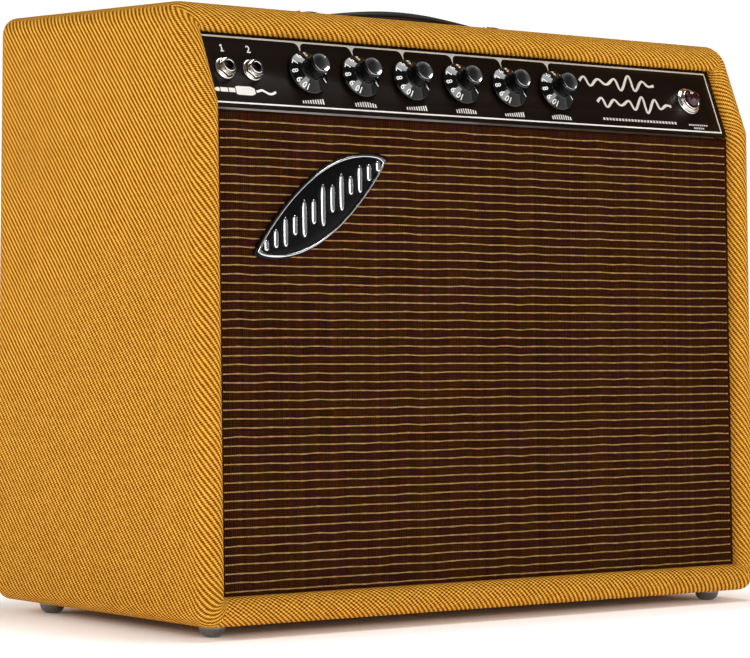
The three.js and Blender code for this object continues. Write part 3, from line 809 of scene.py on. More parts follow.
def station_uvs(station, points, board):
    """UVs in millimetres: the cloth is laid over each board and round its edges."""
    turn = station[3]
    low_corner, high_corner = UNDERSIDE + OUTER_CORNER, TOP - OUTER_CORNER
    count = len(points)
    uvs = [None] * count
    if board in ("left", "right"):
        sign = 1 if board == "right" else -1

        def height(i):
            radius = INNER_CORNER + (OUTER_CORNER - INNER_CORNER) * SECTION[i][0] / BOARD
            if points[FOLD].z > high_corner:
                return high_corner + radius * turn
            if points[FOLD].z < low_corner:
                return low_corner - radius * turn
            return points[i].z

        angle = edge_angle(points[FOLD].z)
        lean = Vector((math.sin(angle), math.cos(angle)))
        fold_q = points[FOLD].y * lean.x + height(FOLD) * lean.y
        fold_m = points[FOLD].y * lean.y - height(FOLD) * lean.x
        uvs[FOLD] = (sign * points[FOLD].y, height(FOLD))
        reach, order = 0.0, [*range(FOLD - 1, -1, -1), *range(count - 1, BARE, -1)]
        for before, i in zip([FOLD] + order, order):
            step = points[i] - points[before]
            reach += math.hypot(step.x, (step.y * lean.y - step.z * lean.x))
            q = fold_q + (points[i].y - points[FOLD].y) * lean.x
            m = fold_m - reach * EDGE_REACH[board]
            uvs[i] = (sign * (q * lean.x + m * lean.y), q * lean.y - m * lean.x)
        reach = points[FOLD].y
        for i in range(FOLD + 1, BARE + 1):
            reach += (points[i] - points[i - 1]).length
            uvs[i] = (sign * reach, height(FOLD))
        return uvs
    sign = 1 if board == "top" else -1
    side = 1 if points[FOLD].x > 0 else -1
    inner_corner, outer_corner = INNER_X - INNER_CORNER, HALF_WIDTH - OUTER_CORNER
    level = points[0].z
    reaches = [0.0] * count
    for i in range(1, BARE + 1):
        reaches[i] = reaches[i - 1] + (points[i] - points[i - 1]).length
    for before, i in zip([0, *range(count - 1, BARE + 1, -1)], range(count - 1, BARE, -1)):
        reaches[i] = reaches[before] - (points[i] - points[before]).length
    for i in range(count):
        share = SECTION[i][0] / BOARD
        radius = INNER_CORNER + (OUTER_CORNER - INNER_CORNER) * share
        across = side * (inner_corner + (outer_corner - inner_corner) * share + radius * turn)
        uvs[i] = (across, level + sign * reaches[i] * EDGE_REACH[board])
    return uvs


def cabinet_cover():
    shape = Shape()
    stations = frame_stations()
    rows = [station_points(station) for station in stations]
    shape.points = [point for row in rows for point in row]
    around = len(SECTION)
    for i, station in enumerate(stations):
        k = (i + 1) % len(stations)
        board = station[2]
        here = station_uvs(station, rows[i], board)
        there = station_uvs(stations[k], rows[k], board)
        for j in range(around):
            m = (j + 1) % around
            shape.faces.append([i * around + j, i * around + m, k * around + m, k * around + j])
            if j == BARE:
                shape.paints.append(1)
                along = (lambda p: p.z) if board in ("left", "right") else (lambda p: p.x)
                corners = (rows[i][j], rows[i][m], rows[k][m], rows[k][j])
                shape.uvs.append([(p.y, along(p) + 900 * len(board)) for p in corners])
            else:
                shape.paints.append(0)
                shape.uvs.append([here[j], here[m], there[m], there[j]])
    return shape


def screw(place, shape, head=3.4, height=1.6, cup=5.2):
    """A cross-head screw in a cup washer, standing on local Z, as metal with a dark cross."""
    washer = [(head - 0.2, 0.9), (head + 0.6, 1.1), (cup, 0.3), (cup, 0.0), (head - 0.2, 0.0)]
    dome = [(0, height), (head * 0.55, height - 0.12), (head * 0.9, height - 0.6), (head, 0.8), (head, 0.1)]
    shape.add(turned(washer, 24, closed=True), place)
    shape.add(turned(dome, 24), place)
    for turn in (0, math.pi / 2):
        cross = boxed((-head * 0.52, -0.38, height - 0.25), (head * 0.52, 0.38, height + 0.03), 0)
        shape.add(cross, place @ Matrix.Rotation(turn + 0.4, 4, "Z"), 1)
    return shape


def facing(point, outward):
    """A frame at a point whose local Z is outward."""
    return Matrix.Translation(point) @ Vector(outward).to_track_quat("Z", "Y").to_matrix().to_4x4()


def add_cabinet():
    make("cabinet_cover", cabinet_cover(), [TWEED, PINE],
         stands_for=["cabinet_shell"], sharp=40)

    cleats = Shape()
    for node in ("lower_back_panel", "upper_back_panel"):
        low, high = box_mm(node)
        for side in (-1, 1):
            xs = sorted((side * (INNER_X - 12.5), side * (INNER_X - 0.05)))
            part = boxed((xs[0], low.y - 13.3, low.z), (xs[1], low.y - 0.3, high.z), 0.8)
            cleats.add(part, uvs=[[(v, u) for u, v in face] for face in planar_uvs(part)])
    make("back_panel_cleats", cleats, [PINE])

    screws = Shape()
    for node in ("upper_back_panel", "lower_back_panel"):
        low, high = box_mm(node)
        part = boxed(low, high, 1.8, 3)
        panel = Shape().add(part, uvs=planar_uvs(part))
        make(node + "_cover", panel, [TWEED], stands_for=[node])
        for x in (-226, -113, 0, 113, 226):
            if abs(x) > 200 or node == "lower_back_panel":
                for z in (low.z + 12, high.z - 12) if abs(x) > 200 else (low.z + 12,):
                    screw(facing((x, high.y, z), (0, 1, 0)), screws)
    make("back_panel_screws", screws, [NICKEL, MOULDED_BLACK])

    foot = rounded([(0, 0), (4.6, 0), (7.4, 2.2), (8.7, 5.6), (8.7, 7.9), (0, 7.9)], 0.8, 4)
    for end in ("front", "rear"):
        for side in ("left", "right"):
            node = f"foot_{end}_{side}"
            low, high = box_mm(node)
            middle = (low + high) / 2
            make(node + "_glide", single(turned(foot, 40), at(middle.x, middle.y)), [FOOT_METAL],
                 stands_for=[node])


# ---- Grille cloth and badge --------------------------------------------------------------
CLOTH_X = 233.2
CLOTH_S = (19.8, 329.0)
LINES = 54
KNOT_SPREAD = 0.22


def add_grille():
    columns, rows = 96, 64
    shape = Shape()
    for j in range(rows + 1):
        for i in range(columns + 1):
            x = -CLOTH_X + 2 * CLOTH_X * i / columns
            s = CLOTH_S[0] + (CLOTH_S[1] - CLOTH_S[0]) * j / rows
            ripple = 0.12 * math.sin(x / 31 + s / 47) * math.sin(s / 23)
            shape.points.append(Vector((x, s, CLOTH_N - 0.35 + ripple)))
    for j in range(rows):
        for i in range(columns):
            a = j * (columns + 1) + i
            shape.faces.append([a, a + 1, a + columns + 2, a + columns + 1])
    shape.paints = [0] * len(shape.faces)
    shape.uvs = [[(shape.points[i].x, shape.points[i].y) for i in face] for face in shape.faces]
    cloth = make("grille_fabric", shape, [CLOTH], place=LEANING,
                 stands_for=["grille_cloth"])

    yarns = Shape()
    knots = int(2 * CLOTH_X / CLOTH_BLOCK) + 2
    first_knot = -math.ceil(CLOTH_X / CLOTH_BLOCK) * CLOTH_BLOCK
    column_wave = [rng.uniform(-0.18, 0.18) for _ in range(knots + 1)]
    for line in range(LINES):
        s0 = CLOTH_FIRST_LINE + line * CLOTH_PITCH
        if s0 > CLOTH_S[1] - 1:
            break
        path, radii, level = [], [], 0.0
        offsets = [column_wave[k] + rng.uniform(-KNOT_SPREAD, KNOT_SPREAD) for k in range(knots + 1)]
        for k in range(knots):
            for part in range(4):
                t = part / 4
                x = first_knot + (k + t) * CLOTH_BLOCK
                if abs(x) > CLOTH_X:
                    continue
                ease = t * t * (3 - 2 * t)
                level = offsets[k] * (1 - ease) + offsets[k + 1] * ease
                path.append((x, s0 + level, CLOTH_N - 0.12))
                radii.append(rng.uniform(0.56, 0.66) if part == 0 else rng.uniform(0.40, 0.47))
        part = tube(path, radii, 6)
        yarns.add(part, uvs=[[(part[0][i][0], line) for i in face] for face in part[1]])
    gold = make("grille_gold_yarns", yarns, [GOLD], place=LEANING, sharp=80)


BADGE_X, BADGE_S = -150.0, 269.7
BADGE_TILT = math.radians(30)
BADGE_REACH, BADGE_SWELL = 56.0, 24.0
BADGE_BARS = [7, 12, 19, 13, 24, 16, 27, 18, 24, 12, 18, 11, 7]


def leaf(inset=0.0, steps=40):
    """The outline of a long leaf, tilted as the badge is, drawn in by inset."""
    reach, swell = BADGE_REACH - 1.9 * inset, BADGE_SWELL - inset
    us = [-reach + 2 * reach * k / steps for k in range(steps + 1)]
    bend = lambda u: swell * math.cos(math.pi * u / (2 * reach)) ** 0.75 if abs(u) < reach else 0.0
    upper = [(u, u * math.tan(BADGE_TILT) + bend(u)) for u in us]
    lower = [(u, u * math.tan(BADGE_TILT) - bend(u)) for u in us[::-1][1:-1]]
    return upper + lower


def add_badge():
    """A chrome rim round a black leaf, with a row of bars that rise and fall as a sound does."""
    place = LEANING @ at(BADGE_X, BADGE_S, CLOTH_N + 0.5)
    backing = slab([leaf()], 2.5, 0.5, 2)
    make("badge_backing", backing, [BADGE_BLACK], place=place, stands_for=["badge"])
    raised = single(slab([leaf(1.0), leaf(2.3)], 1.4, 0.4, 2), at(0, 0, 2.3))
    pitch = 2 * (BADGE_REACH - 9) / (len(BADGE_BARS) - 1)
    for k, length in enumerate(BADGE_BARS):
        u = -(BADGE_REACH - 9) + pitch * k
        middle, half = u * math.tan(BADGE_TILT), length / 2
        points = [(u, middle - half + length * i / 10) for i in range(11)]
        widths = [3.7 * math.sqrt(max(0.12, 1 - (2 * i / 10 - 1) ** 6)) for i in range(11)]
        raised.add(slab([ribbon(points, widths)], 2.2, 0.8, 4), at(0, 0, 2.2))
    make("badge_wave", raised, [CHROME], place=place, sharp=50)


# ---- Control panel -----------------------------------------------------------------------
PANEL_X, PANEL_LOW, PANEL_HIGH = 233.2, -3.0, 49.3
RIGHT_LINE_X, TOP_LINE_T = 228.5, 47.1
INK = 0.07
ONE = [(-1.3, 0), (1.5, 0), (1.5, 0.75), (0.6, 0.75), (0.6, 5.2), (-0.25, 5.2), (-1.5, 4.2), (-1.15, 3.6),
       (-0.35, 4.15),
       (-0.35, 0.75), (-1.3, 0.75)]


def pointer(x):
    """The white pointer over a knob: two rounded dark corners meeting in a fine tip."""
    top, reach = TOP_LINE_T - 0.4, 4.6
    left = arc(x - 0.45 - reach, top - reach, reach, math.pi / 2, 0, 7)
    right = arc(x + 0.45 + reach, top - reach, reach, math.pi, math.pi / 2, 7)
    return left + [(x, 40.0)] + right


def label_bars(x, low, high, width, index):
    """A generic printed scale in place of a word: bars that grow towards one end."""
    count = 9
    bars = []
    for k in range(count):
        left = x - width / 2 + k * width / (count - 0.45)
        if index % 2 == 0:
            share = 0.45 + 0.55 * (k + 1) / count
        else:
            share = 0.6 + 0.4 * math.sin(math.pi * (k + 0.5) / count)
        bars.append(rectangle(left, low, left + 0.55 * width / count, low + (high - low) * share))
    return bars


def plug_mark(x, t):
    """A jack plug lying on its side, 50 mm long."""
    tip = [(x, t), (x + 1.6, t + 1.25), (x + 3.4, t + 1.5), (x + 4.4, t + 0.8), (x + 4.4, t - 0.8),
           (x + 3.4, t - 1.5), (x + 1.6, t - 1.25)]
    body = ribbon([(x + 17.5, t), (x + 19, t), (x + 30, t), (x + 33, t)], [5.0, 6.2, 6.2, 3.6])
    cable = [(x + 34 + k, t + 1.3 * math.sin(k / 2.4) * min(k / 5, 1)) for k in range(17)]
    return [tip, rectangle(x + 5.0, t - 1.5, x + 11, t + 1.5), rectangle(x + 11.8, t - 1.5, x + 16.8,
            t + 1.5),
            body, ribbon(cable, [1.6] * 17)]


def wave_mark(left, right, middle, height, cycles, lean=0.35):
    """A flowing pen stroke that swells and fades along its length."""
    count = int(cycles * 22)
    points, widths = [], []
    for k in range(count + 1):
        t = k / count
        swell = math.sin(math.pi * (0.06 + 0.9 * t)) ** 0.6 * (0.62 + 0.38 * math.cos(2 * math.pi * t * 1.5))
        a = 2 * math.pi * cycles * t
        y = height / 2 * swell * math.sin(a)
        points.append((left + (right - left) * t + lean * y, middle + y))
        widths.append(1.5 + 0.6 * abs(math.cos(a)))
    return ribbon(points, widths)


def add_panel():
    holes = [circle(x, CONTROL_T, BUSH_HOLE) for x in [*KNOB_XS, *JACK_XS]] + [circle(PILOT_X, CONTROL_T,
            PILOT_HOLE)]
    edge = rectangle(-PANEL_X, PANEL_LOW, PANEL_X, PANEL_HIGH, 0.6, 2)
    plate = single(slab([edge, *holes], 1.5, 0.18, 1), at(0, 0, -1.5))
    make("control_panel_plate", plate, [PANEL_PAINT], place=PANEL,
         stands_for=["control_panel"])

    lines = Shape()
    # The bottom line is in the lighter print, a painted highlight. The side and top lines are in the plain
    # print.
    lines.add(slab([rectangle(-PANEL_X + 0.1, -0.55, RIGHT_LINE_X + 0.5, 0.55)], INK), paint=1)
    lines.add(slab([rectangle(RIGHT_LINE_X - 0.5, 0.55, RIGHT_LINE_X + 0.5, TOP_LINE_T - 0.45)], INK))
    lines.add(slab([rectangle(-PANEL_X + 0.1, TOP_LINE_T - 0.45, RIGHT_LINE_X + 0.5, TOP_LINE_T + 0.75)],
                   INK))
    for x in KNOB_XS:
        lines.add(slab([pointer(x)], INK))
    for index, x in enumerate(KNOB_XS):
        for bar in label_bars(x, 2.6, 6.4, 18.0, index):
            lines.add(slab([bar], INK), paint=1)
    for mark in plug_mark(-231.5, 8.9):
        lines.add(slab([mark], INK), paint=1)
    lines.add(slab([ONE], INK), at(-217.2, 36.3), paint=1)
    lines.add(figure("2", 5.2, INK), at(-195.6, 38.9), paint=1)
    lines.add(slab([wave_mark(98, 172, 34.6, 14.0, 5)], INK))
    lines.add(slab([wave_mark(110, 184, 18.6, 14.0, 5.5)], INK))
    for k in range(24):
        lines.add(slab([rectangle(111 + 3.1 * k, 4.6, 113 + 3.1 * k, 6.4)], INK))
    for row, count in ((4.4, 9), (1.9, 5)):
        for k in range(count):
            left = PILOT_X + 3.5 + 2.2 * (k - count / 2)
            lines.add(slab([rectangle(left, row, left + 1.5, row + 1.2)], INK))
    lines_place = PANEL @ at(0, 0, 0.01)
    make("panel_printing", lines, [PRINT, BRIGHT_PRINT], place=lines_place)


GRIP_FLUTES = 30


def grip_flute(angle, height):
    depth = 0.22 if 8.2 < height < 15.6 else 0.0
    return -depth * (0.5 + 0.5 * math.cos(GRIP_FLUTES * angle)) ** 2


SKIRT_RIM, SKIRT_TOP = (14.8, 3.1), (7.8, 6.6)


def skirt_height(radius):
    """The upper face of a knob's skirt, which the numerals lie on."""
    share = (SKIRT_RIM[0] - radius) / (SKIRT_RIM[0] - SKIRT_TOP[0])
    return SKIRT_RIM[1] + (SKIRT_TOP[1] - SKIRT_RIM[1]) * share


def knob_shape():
    skirt = [(0, -8.8), (3, -8.8), (3, 5), (8, 5), (8, 1.5), (14.4, 1.5), (15.2, 2.2), SKIRT_RIM, SKIRT_TOP,
             (7.4, 8)]
    skirt = rounded(skirt, 0.35, 3)[:-1]
    grip = [(7.4 - 0.3 * k / 12, 8 + 8 * k / 12) for k in range(13)]
    crown = rounded([(7.1, 16), (6.6, 16.6), (0, 16.6)], 0.5, 4)[1:]
    return single(turned(skirt + grip + crown, 240, flute=grip_flute))


def numerals_shape():
    """1 to 10 round the skirt, 30 degrees apart, their tops outward, 5 at the top."""
    shape = Shape()
    for number in range(1, 11):
        turn = math.radians(30 * (number - 5))
        points, faces = figure(str(number), 4.1, 0.10)
        laid = []
        for x, y, z in points:
            radius = 12.1 + y * 0.92
            angle = math.pi / 2 + turn - x / 12.1
            laid.append((radius * math.cos(angle), radius * math.sin(angle),
                         skirt_height(radius) + 0.02 + z))
        shape.add((laid, faces))
    return shape


def add_knobs():
    cap = [(0, 16.65), (6.2, 16.65), (6.4, 16.85), (6.4, 17.6), (6.25, 17.75)]
    cap += [(6.1 * (1 - k / 16), 16.75 + 0.95 * (1 - k / 16) ** 3) for k in range(17)]
    can = [(4.6, -1.6), (4.6, -3.7), (11.6, -3.7), (12, -4.2), (12, -12.2), (11.6, -12.6), (0, -12.6), (0,
            -10), (3.6, -10),
           (3.6, 0), (3.6, 3.2), (4.6, 3.2), (4.6, 2.3), (6.2, 2.3), (6.2, 0.3), (4.6, 0.3), (4.6, -1.6)]
    for name, x in zip(KNOBS, KNOB_XS):
        place, body = PANEL @ at(x, CONTROL_T), f"knob_{name}"
        make(f"knob_{name}_moulding", knob_shape(), [KNOB_BLACK], body, place,
             [f"knob_{name}"])
        make(f"knob_{name}_numerals", numerals_shape(), [NUMERAL], body, place)
        make(f"knob_{name}_cap", turned(cap, 64), [CAP_METAL], body, place,
             [f"knob_cap_{name}"])
        make(f"pot_{name}_can", turned(can, 40), [STEEL], "cabinet", place, [f"pot_{name}"])


def jack_shape():
    """A panel jack: washer, six-sided nut, threaded bush with an open bore, and its body behind."""
    bush = [(3.2, -22), (3.2, 6.2), (3.5, 6.5), (4.4, 6.5), (4.7, 6.2), (4.7, -3.7), (9, -3.7), (9, -24),
            (0, -24), (0, -22), (3.2, -22)]
    shape = Shape().add(turned(bush, 40))
    washer = rounded([(4.75, 0.3), (7.5, 0.3), (7.5, 0.9), (6.9, 1.3), (4.75, 1.3)], 0.2, 2)
    shape.add(turned(washer, 40, closed=True))
    nut = slab([circle(0, 0, 6.7, 6, 0.35), circle(0, 0, 4.75, 30)], 2.7, 0.35, 2)
    shape.add(nut, at(0, 0, 1.3))
    for level in (4.5, 5.1, 5.7):
        shape.add(turned([(4.55, level), (4.95, level + 0.15), (4.95, level + 0.25), (4.55, level + 0.4)],
                         40, closed=True))
    return shape


def add_fittings():
    throat = turned([(0, -21.9), (3.15, -21.9), (3.15, 2.0), (3.0, 2.0), (3.0, -21.0), (0, -21.0)], 32)
    for node, frame_, x in (("input_jack_1", PANEL, JACK_XS[0]), ("input_jack_2", PANEL, JACK_XS[1]),
                            ("speaker_jack", REAR, SPEAKER_JACK_X), ("pedal_jack", REAR, PEDAL_JACK_X)):
        place = frame_ @ at(x, CONTROL_T if frame_ is PANEL else 0)
        make(node + "_bush", jack_shape(), [NICKEL], place=place, stands_for=[node], sharp=30)
        make(node + "_throat", throat, [MOULDED_BLACK], place=place)

    pilot = PANEL @ at(PILOT_X, CONTROL_T)
    bezel = [(6.3, -14), (6.3, 4.2), (6.6, 4.5), (7.3, 4.5), (7.8, 4.1), (7.8, 2.9), (8.3, 2.4), (8.3, 1.8),
             (9.2, 1.3),
             (10.1, 0.9), (10.3, 0.3), (7.5, 0.3), (7.5, -14)]
    make("pilot_bezel_ring", turned(rounded(bezel, 0.3, 3), 56, closed=True), [NICKEL],
         place=pilot,
         stands_for=["pilot_bezel"])
    crown = [(0, -5), (5.9, -5), (5.9, 5), (5.7, 5.6), (4.9, 7.5), (3.1, 9.1), (1.5, 9.7), (0, 9.7)]
    make("pilot_jewel_glass", turned(crown, 12), [JEWEL], place=pilot, stands_for=["pilot_jewel"],
         sharp=8)


# ---- Handle ------------------------------------------------------------------------------
HANDLE_HALF, STRAP_HALF, STRAP_WIDTH = 84.0, 68.5, 22.0
HANDLE_Y = 2.0


def band_rise(x):
    return 2.6 + 5.9 * abs(math.cos(math.pi * x / (2 * HANDLE_HALF))) ** 1.2


def strap_rows(half, side, section, steps=34):
    """One half of the strap from its middle outward: section(x) gives its (y, z) outline."""
    shape = Shape()
    rows = [section(side * half * k / steps) for k in range(steps + 1)]
    around = len(rows[0])
    for k, row in enumerate(rows):
        x = side * half * k / steps
        shape.points += [Vector((x, y, z)) for y, z in row]
    shape.faces = ring_faces(len(rows), around)
    shape.faces.append([steps * around + j for j in range(around)])
    shape.paints = [0] * len(shape.faces)
    shape.uvs = [[(0, 0)] * len(face) for face in shape.faces]
    return shape


def band_section(x):
    z = TOP + band_rise(x)
    return rectangle(-9.9, z - 0.75, 9.9, z + 0.75, 0.3, 2)


def grip_thickness(x):
    return 2.3 + 1.6 * math.cos(math.pi * x / (2 * STRAP_HALF))


def grip_section(x):
    under = TOP + band_rise(x) + 0.85
    thick = grip_thickness(x)
    edge = STRAP_WIDTH / 2 * (1 if abs(x) < STRAP_HALF - 9 else math.sqrt(max(0.18,
            1 - ((abs(x) - STRAP_HALF + 9) / 9) ** 2 * 0.82)))
    low = [(-edge + 0.9, under), (edge - 0.9, under)]
    over = []
    for k in range(15):
        a = math.pi * k / 14
        y = edge * math.cos(a)
        groove = 0.32 * math.exp(-((abs(y) - edge + 3.4) / 0.55) ** 2)
        over.append((y, under + 0.5 + (thick - 0.5) * min(1, math.sin(a) ** 0.45 + 0.02) - groove))
    return low + over


def add_handle():
    for side, name in ((-1, "left"), (1, "right")):
        band = make(f"spring_band_{name}", strap_rows(HANDLE_HALF - 1, side, band_section), [SPRING],
                    body=None, place=at(0, HANDLE_Y), stands_for=["handle_band"])
        grip = make(f"handle_strap_{name}", strap_rows(STRAP_HALF, side, grip_section, 44), [LEATHER],
                    body=None, place=at(0, HANDLE_Y), stands_for=["handle_grip"], sharp=50)
        stitches = Shape()
        for row in (-1, 1):
            for k in range(21):
                x = side * (1.6 + 2.75 * k)
                if abs(x) > STRAP_HALF - 6:
                    break
                y = row * (STRAP_WIDTH / 2 - 3.4)
                z = TOP + band_rise(x) + 0.85 + 0.5 + (grip_thickness(x) - 0.5) * 0.86
                stitches.add(tube([(x - 0.85, y, z - 0.3), (x - 0.4, y, z), (x + 0.4, y, z), (x + 0.85, y,
                        z - 0.3)], 0.26, 6))
        thread = make(f"strap_stitches_{name}", stitches, [THREAD], body=None, place=at(0,
                HANDLE_Y))
        for piece in (band, grip, thread):
            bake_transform(piece)

        node = f"handle_cap_{name}"
        cap = Shape()
        outline = [(14 * math.cos(a),
                    7.4 * math.sin(a) ** 0.9) for a in [math.pi * k / 28 for k in range(29)]]
        points, faces = slab([outline], 26, 1.6, 4)
        cap.add(([(x, 13 - z, y) for x, y, z in points], faces))
        place = at(side * HANDLE_HALF, HANDLE_Y, TOP + 0.3, 0 if side > 0 else math.pi)
        shell = make(node + "_shell", cap, [NICKEL], place=place, stands_for=[node])
        cut_mouth(shell, place)
        screws = Shape()
        screw(place @ facing((5.0, 0, 6.75), (0.22, 0, 1)), screws, 3.2, 0.7, 3.3)
        make(node + "_screw", screws, [NICKEL, MOULDED_BLACK])


def cut_mouth(cap, place):
    """Opens the slot that the strap's end slides in."""
    mouth = boxed((-15, -STRAP_WIDTH / 2 - 0.7, 1.1), (6, STRAP_WIDTH / 2 + 0.7, 4.9), 0)
    tool_mesh = bpy.data.meshes.new("mouth")
    tool_mesh.from_pydata([(place @ Vector(p)) * MM for p in mouth[0]], [], mouth[1])
    tool = linked("mouth", tool_mesh)
    cutter = cap.modifiers.new("mouth", "BOOLEAN")
    cutter.operation, cutter.object, cutter.solver = "DIFFERENCE", tool, "EXACT"
    bpy.context.view_layer.update()
    cut = bpy.data.meshes.new_from_object(cap.evaluated_get(bpy.context.evaluated_depsgraph_get()))
    cap.modifiers.clear()
    cap.data = cut
    cut.set_sharp_from_angle(angle=math.radians(35))
    bpy.data.objects.remove(tool)


# ---- Chassis and its parts ---------------------------------------------------------------
SMALL_VALVES = ["preamp_valve_1", "preamp_valve_2", "preamp_valve_3", "preamp_valve_4"]
POWER_VALVES = ["power_valve_1", "power_valve_2"]


def smooth_edges(node, materials, width_mm, steps=2):
    """A CAD node keeps its own mesh, with its hard edges rounded and its finish changed."""
    piece = frame["nodes"][node]
    weld = piece.modifiers.new("weld", "WELD")
    weld.merge_threshold = 1e-5
    bevel = piece.modifiers.new("round", "BEVEL")
    bevel.width, bevel.segments = width_mm * MM, steps
    bevel.limit_method, bevel.angle_limit = "ANGLE", math.radians(40)
    bevel.harden_normals = True
    piece.data.materials.clear()
    for material in materials:
        piece.data.materials.append(material)


def valve_bulb(radius, height, base, tip=3.0):
    """A glass envelope standing on z = base, as a thin wall, with a sealed tip."""
    shoulder = height - radius * 0.95
    outer = [(radius * 0.72, base), (radius, base + 3), (radius, shoulder)]
    outer += [(radius * math.cos(a) ** 0.8, shoulder + (height - tip - shoulder) * math.sin(a))
              for a in [math.pi / 2 * k / 8 for k in range(1, 8)]]
    outer += [(1.6, height - tip * 0.8), (0.9, height - 0.4), (0, height)]
    return outer


def valve_parts(radius, height, base_radius, base_height, plates):
    glass, base, metalwork, mica = Shape(), Shape(), Shape(), Shape()
    outer = valve_bulb(radius, height, base_height - 1 if base_height else 0)
    wall = 0.7
    inner = [(max(r - wall, 0), z - (wall if i > len(outer) - 3 else 0)) for i, (r, z) in enumerate(outer)]
    glass.add(turned(rounded(outer, 1.2, 3), 40))
    glass.add(turned([(r, z) for r, z in rounded(inner, 1.2, 3) if z < height - 2.2] + [(0, height - 3.2)],
                     40))
    if base_height:
        base.add(turned(rounded([(0, 0), (base_radius, 0), (base_radius, base_height - 1.5),
                                 (base_radius - 1, base_height),
                                 (radius * 0.7, base_height)], 0.8, 3), 40))
    low, high = max(base_height, 3) + 5, height * 0.70
    half = radius * 0.55
    for x in plates:
        metalwork.add(boxed((x - half * 0.42, -half, low), (x + half * 0.42, half, high), 1.0, 3))
        metalwork.add(boxed((x - half * 0.42 - 0.9, -0.5, low), (x + half * 0.42 + 0.9, 0.5, high), 0.2, 1))
        for y in (-half - 1.0, half + 1.0):
            metalwork.add(tube([(x, y, low - 4), (x, y, high + 3)], 0.45, 8))
    for z in (low - 1.4, high + 0.8):
        mica.add(slab([circle(0, 0, radius - 1.3, 24)], 0.5), at(0, 0, z))
    metalwork.add(tube([(4 * math.cos(a), 4 * math.sin(a),
                         high + 4) for a in [2 * math.pi * k / 20 for k in range(20)]],
                       0.5, 8, closed=True))
    return glass, base, metalwork, mica


def add_valves():
    for node in SMALL_VALVES + POWER_VALVES + ["rectifier_valve"]:
        low, high = box_mm(node)
        x, y = (low.x + high.x) / 2, (low.y + high.y) / 2
        place = Matrix.Translation((x, y, high.z)) @ Matrix.Rotation(math.pi, 4, "X")
        height = high.z - low.z
        if node in SMALL_VALVES:
            glass, base, metalwork, mica = valve_parts(10.2, height, 0, 0, (-3.2, 3.2))
        else:
            radius = 14.8 if node in POWER_VALVES else 16.5
            glass, base, metalwork, mica = valve_parts(radius, height, 16.2, 14.5,
                                                       (0,) if node in POWER_VALVES else (-5, 5))
            make(node + "_base", base, [BAKELITE], place=place)
        make(node + "_glass", glass, [GLASS], place=place, stands_for=[node])
        make(node + "_plates", metalwork, [ANODE], place=place)
        make(node + "_spacers", mica, [CERAMIC], place=place)


def transformer_shape(node, core_depth):
    """A stack of thin plates between two drawn covers, with four through bolts."""
    low, high = box_mm(node)
    middle = (low + high) / 2
    width, depth, height = high - low
    core, covers, bolts = Shape(), Shape(), Shape()
    sheets = 14
    pitch = core_depth / sheets
    for k in range(sheets):
        y = middle.y - core_depth / 2 + k * pitch
        core.add(boxed((low.x, y + 0.12, low.z), (high.x, y + pitch - 0.12, high.z), 0.15, 1))
    core.add(boxed((low.x + 1, middle.y - core_depth / 2 + 0.2, low.z + 1), (high.x - 1,
            middle.y + core_depth / 2 - 0.2, high.z - 1), 0))
    half_x, half_z, reach = (width - 12) / 2, (height - 12) / 2, (depth - core_depth) / 2
    for side in (-1, 1):
        outline = rectangle(-half_x, -half_z, half_x, half_z, 9, 6)
        turn = Matrix.Translation((middle.x, middle.y + side * core_depth / 2, middle.z)) @ Matrix.Rotation(
            -side * math.pi / 2, 4, "X")
        covers.add(slab([outline], reach, 4.5, 4), turn)
        covers.add(slab([rectangle(-half_x - 3, -half_z - 3, half_x + 3, half_z + 3, 4, 4)], 1.2, 0.3, 2),
                   turn)
        for x in (-half_x + 1.5, half_x - 1.5):
            for z in (-half_z + 1.5, half_z - 1.5):
                bolts.add(slab([circle(0, 0, 3.2, 6)], 2.4, 0.3, 1), turn @ at(x, z, 1.2))
                bolts.add(turned(rounded([(0, 0), (1.5, 0), (1.5, 5), (0, 5)], 0.3, 2), 16), turn @ at(x, z,
                        1.2))
    return core, covers, bolts


def add_chassis():
    smooth_edges("chassis", [STEEL], 0.6)
    smooth_edges("circuit_board", [FIBRE_BOARD], 0.3)
    for node, core_depth in (("power_transformer", 30), ("output_transformer", 24)):
        core, covers, bolts = transformer_shape(node, core_depth)
        make(node + "_core", core, [LAMINATION], stands_for=[node])
        make(node + "_covers", covers, [IRON_BLACK])
        make(node + "_bolts", bolts, [NICKEL])
    low, high = box_mm("filter_capacitor")
    middle, height = (low + high) / 2, high.z - low.z
    can = [(0, 0), (15.2, 0), (16.2, 0.6), (17.3, 1.6), (17.3, 4), (16.4, 5), (17.3, 6), (17.3, height - 5),
           (17.5, height - 4),
           (17.5, height), (0, height)]
    make("filter_capacitor_can", single(turned(rounded(can, 0.6, 3), 48), at(middle.x, middle.y, low.z)),
         [ALUMINIUM],
         stands_for=["filter_capacitor"])
    sockets = Shape()
    for node in SMALL_VALVES + POWER_VALVES + ["rectifier_valve"]:
        low, high = box_mm(node)
        radius = 10.4 if node in SMALL_VALVES else 13.8
        ring = rounded([(radius - 3, 335.05), (radius, 335.05), (radius, 336.6), (radius + 2.6, 337.6),
                        (radius + 2.6, 338.9),
                        (radius - 3, 338.9)], 0.4, 2)
        sockets.add(turned(ring, 40, closed=True), at((low.x + high.x) / 2, (low.y + high.y) / 2))
    make("valve_socket_rims", sockets, [CERAMIC])
    add_valves()


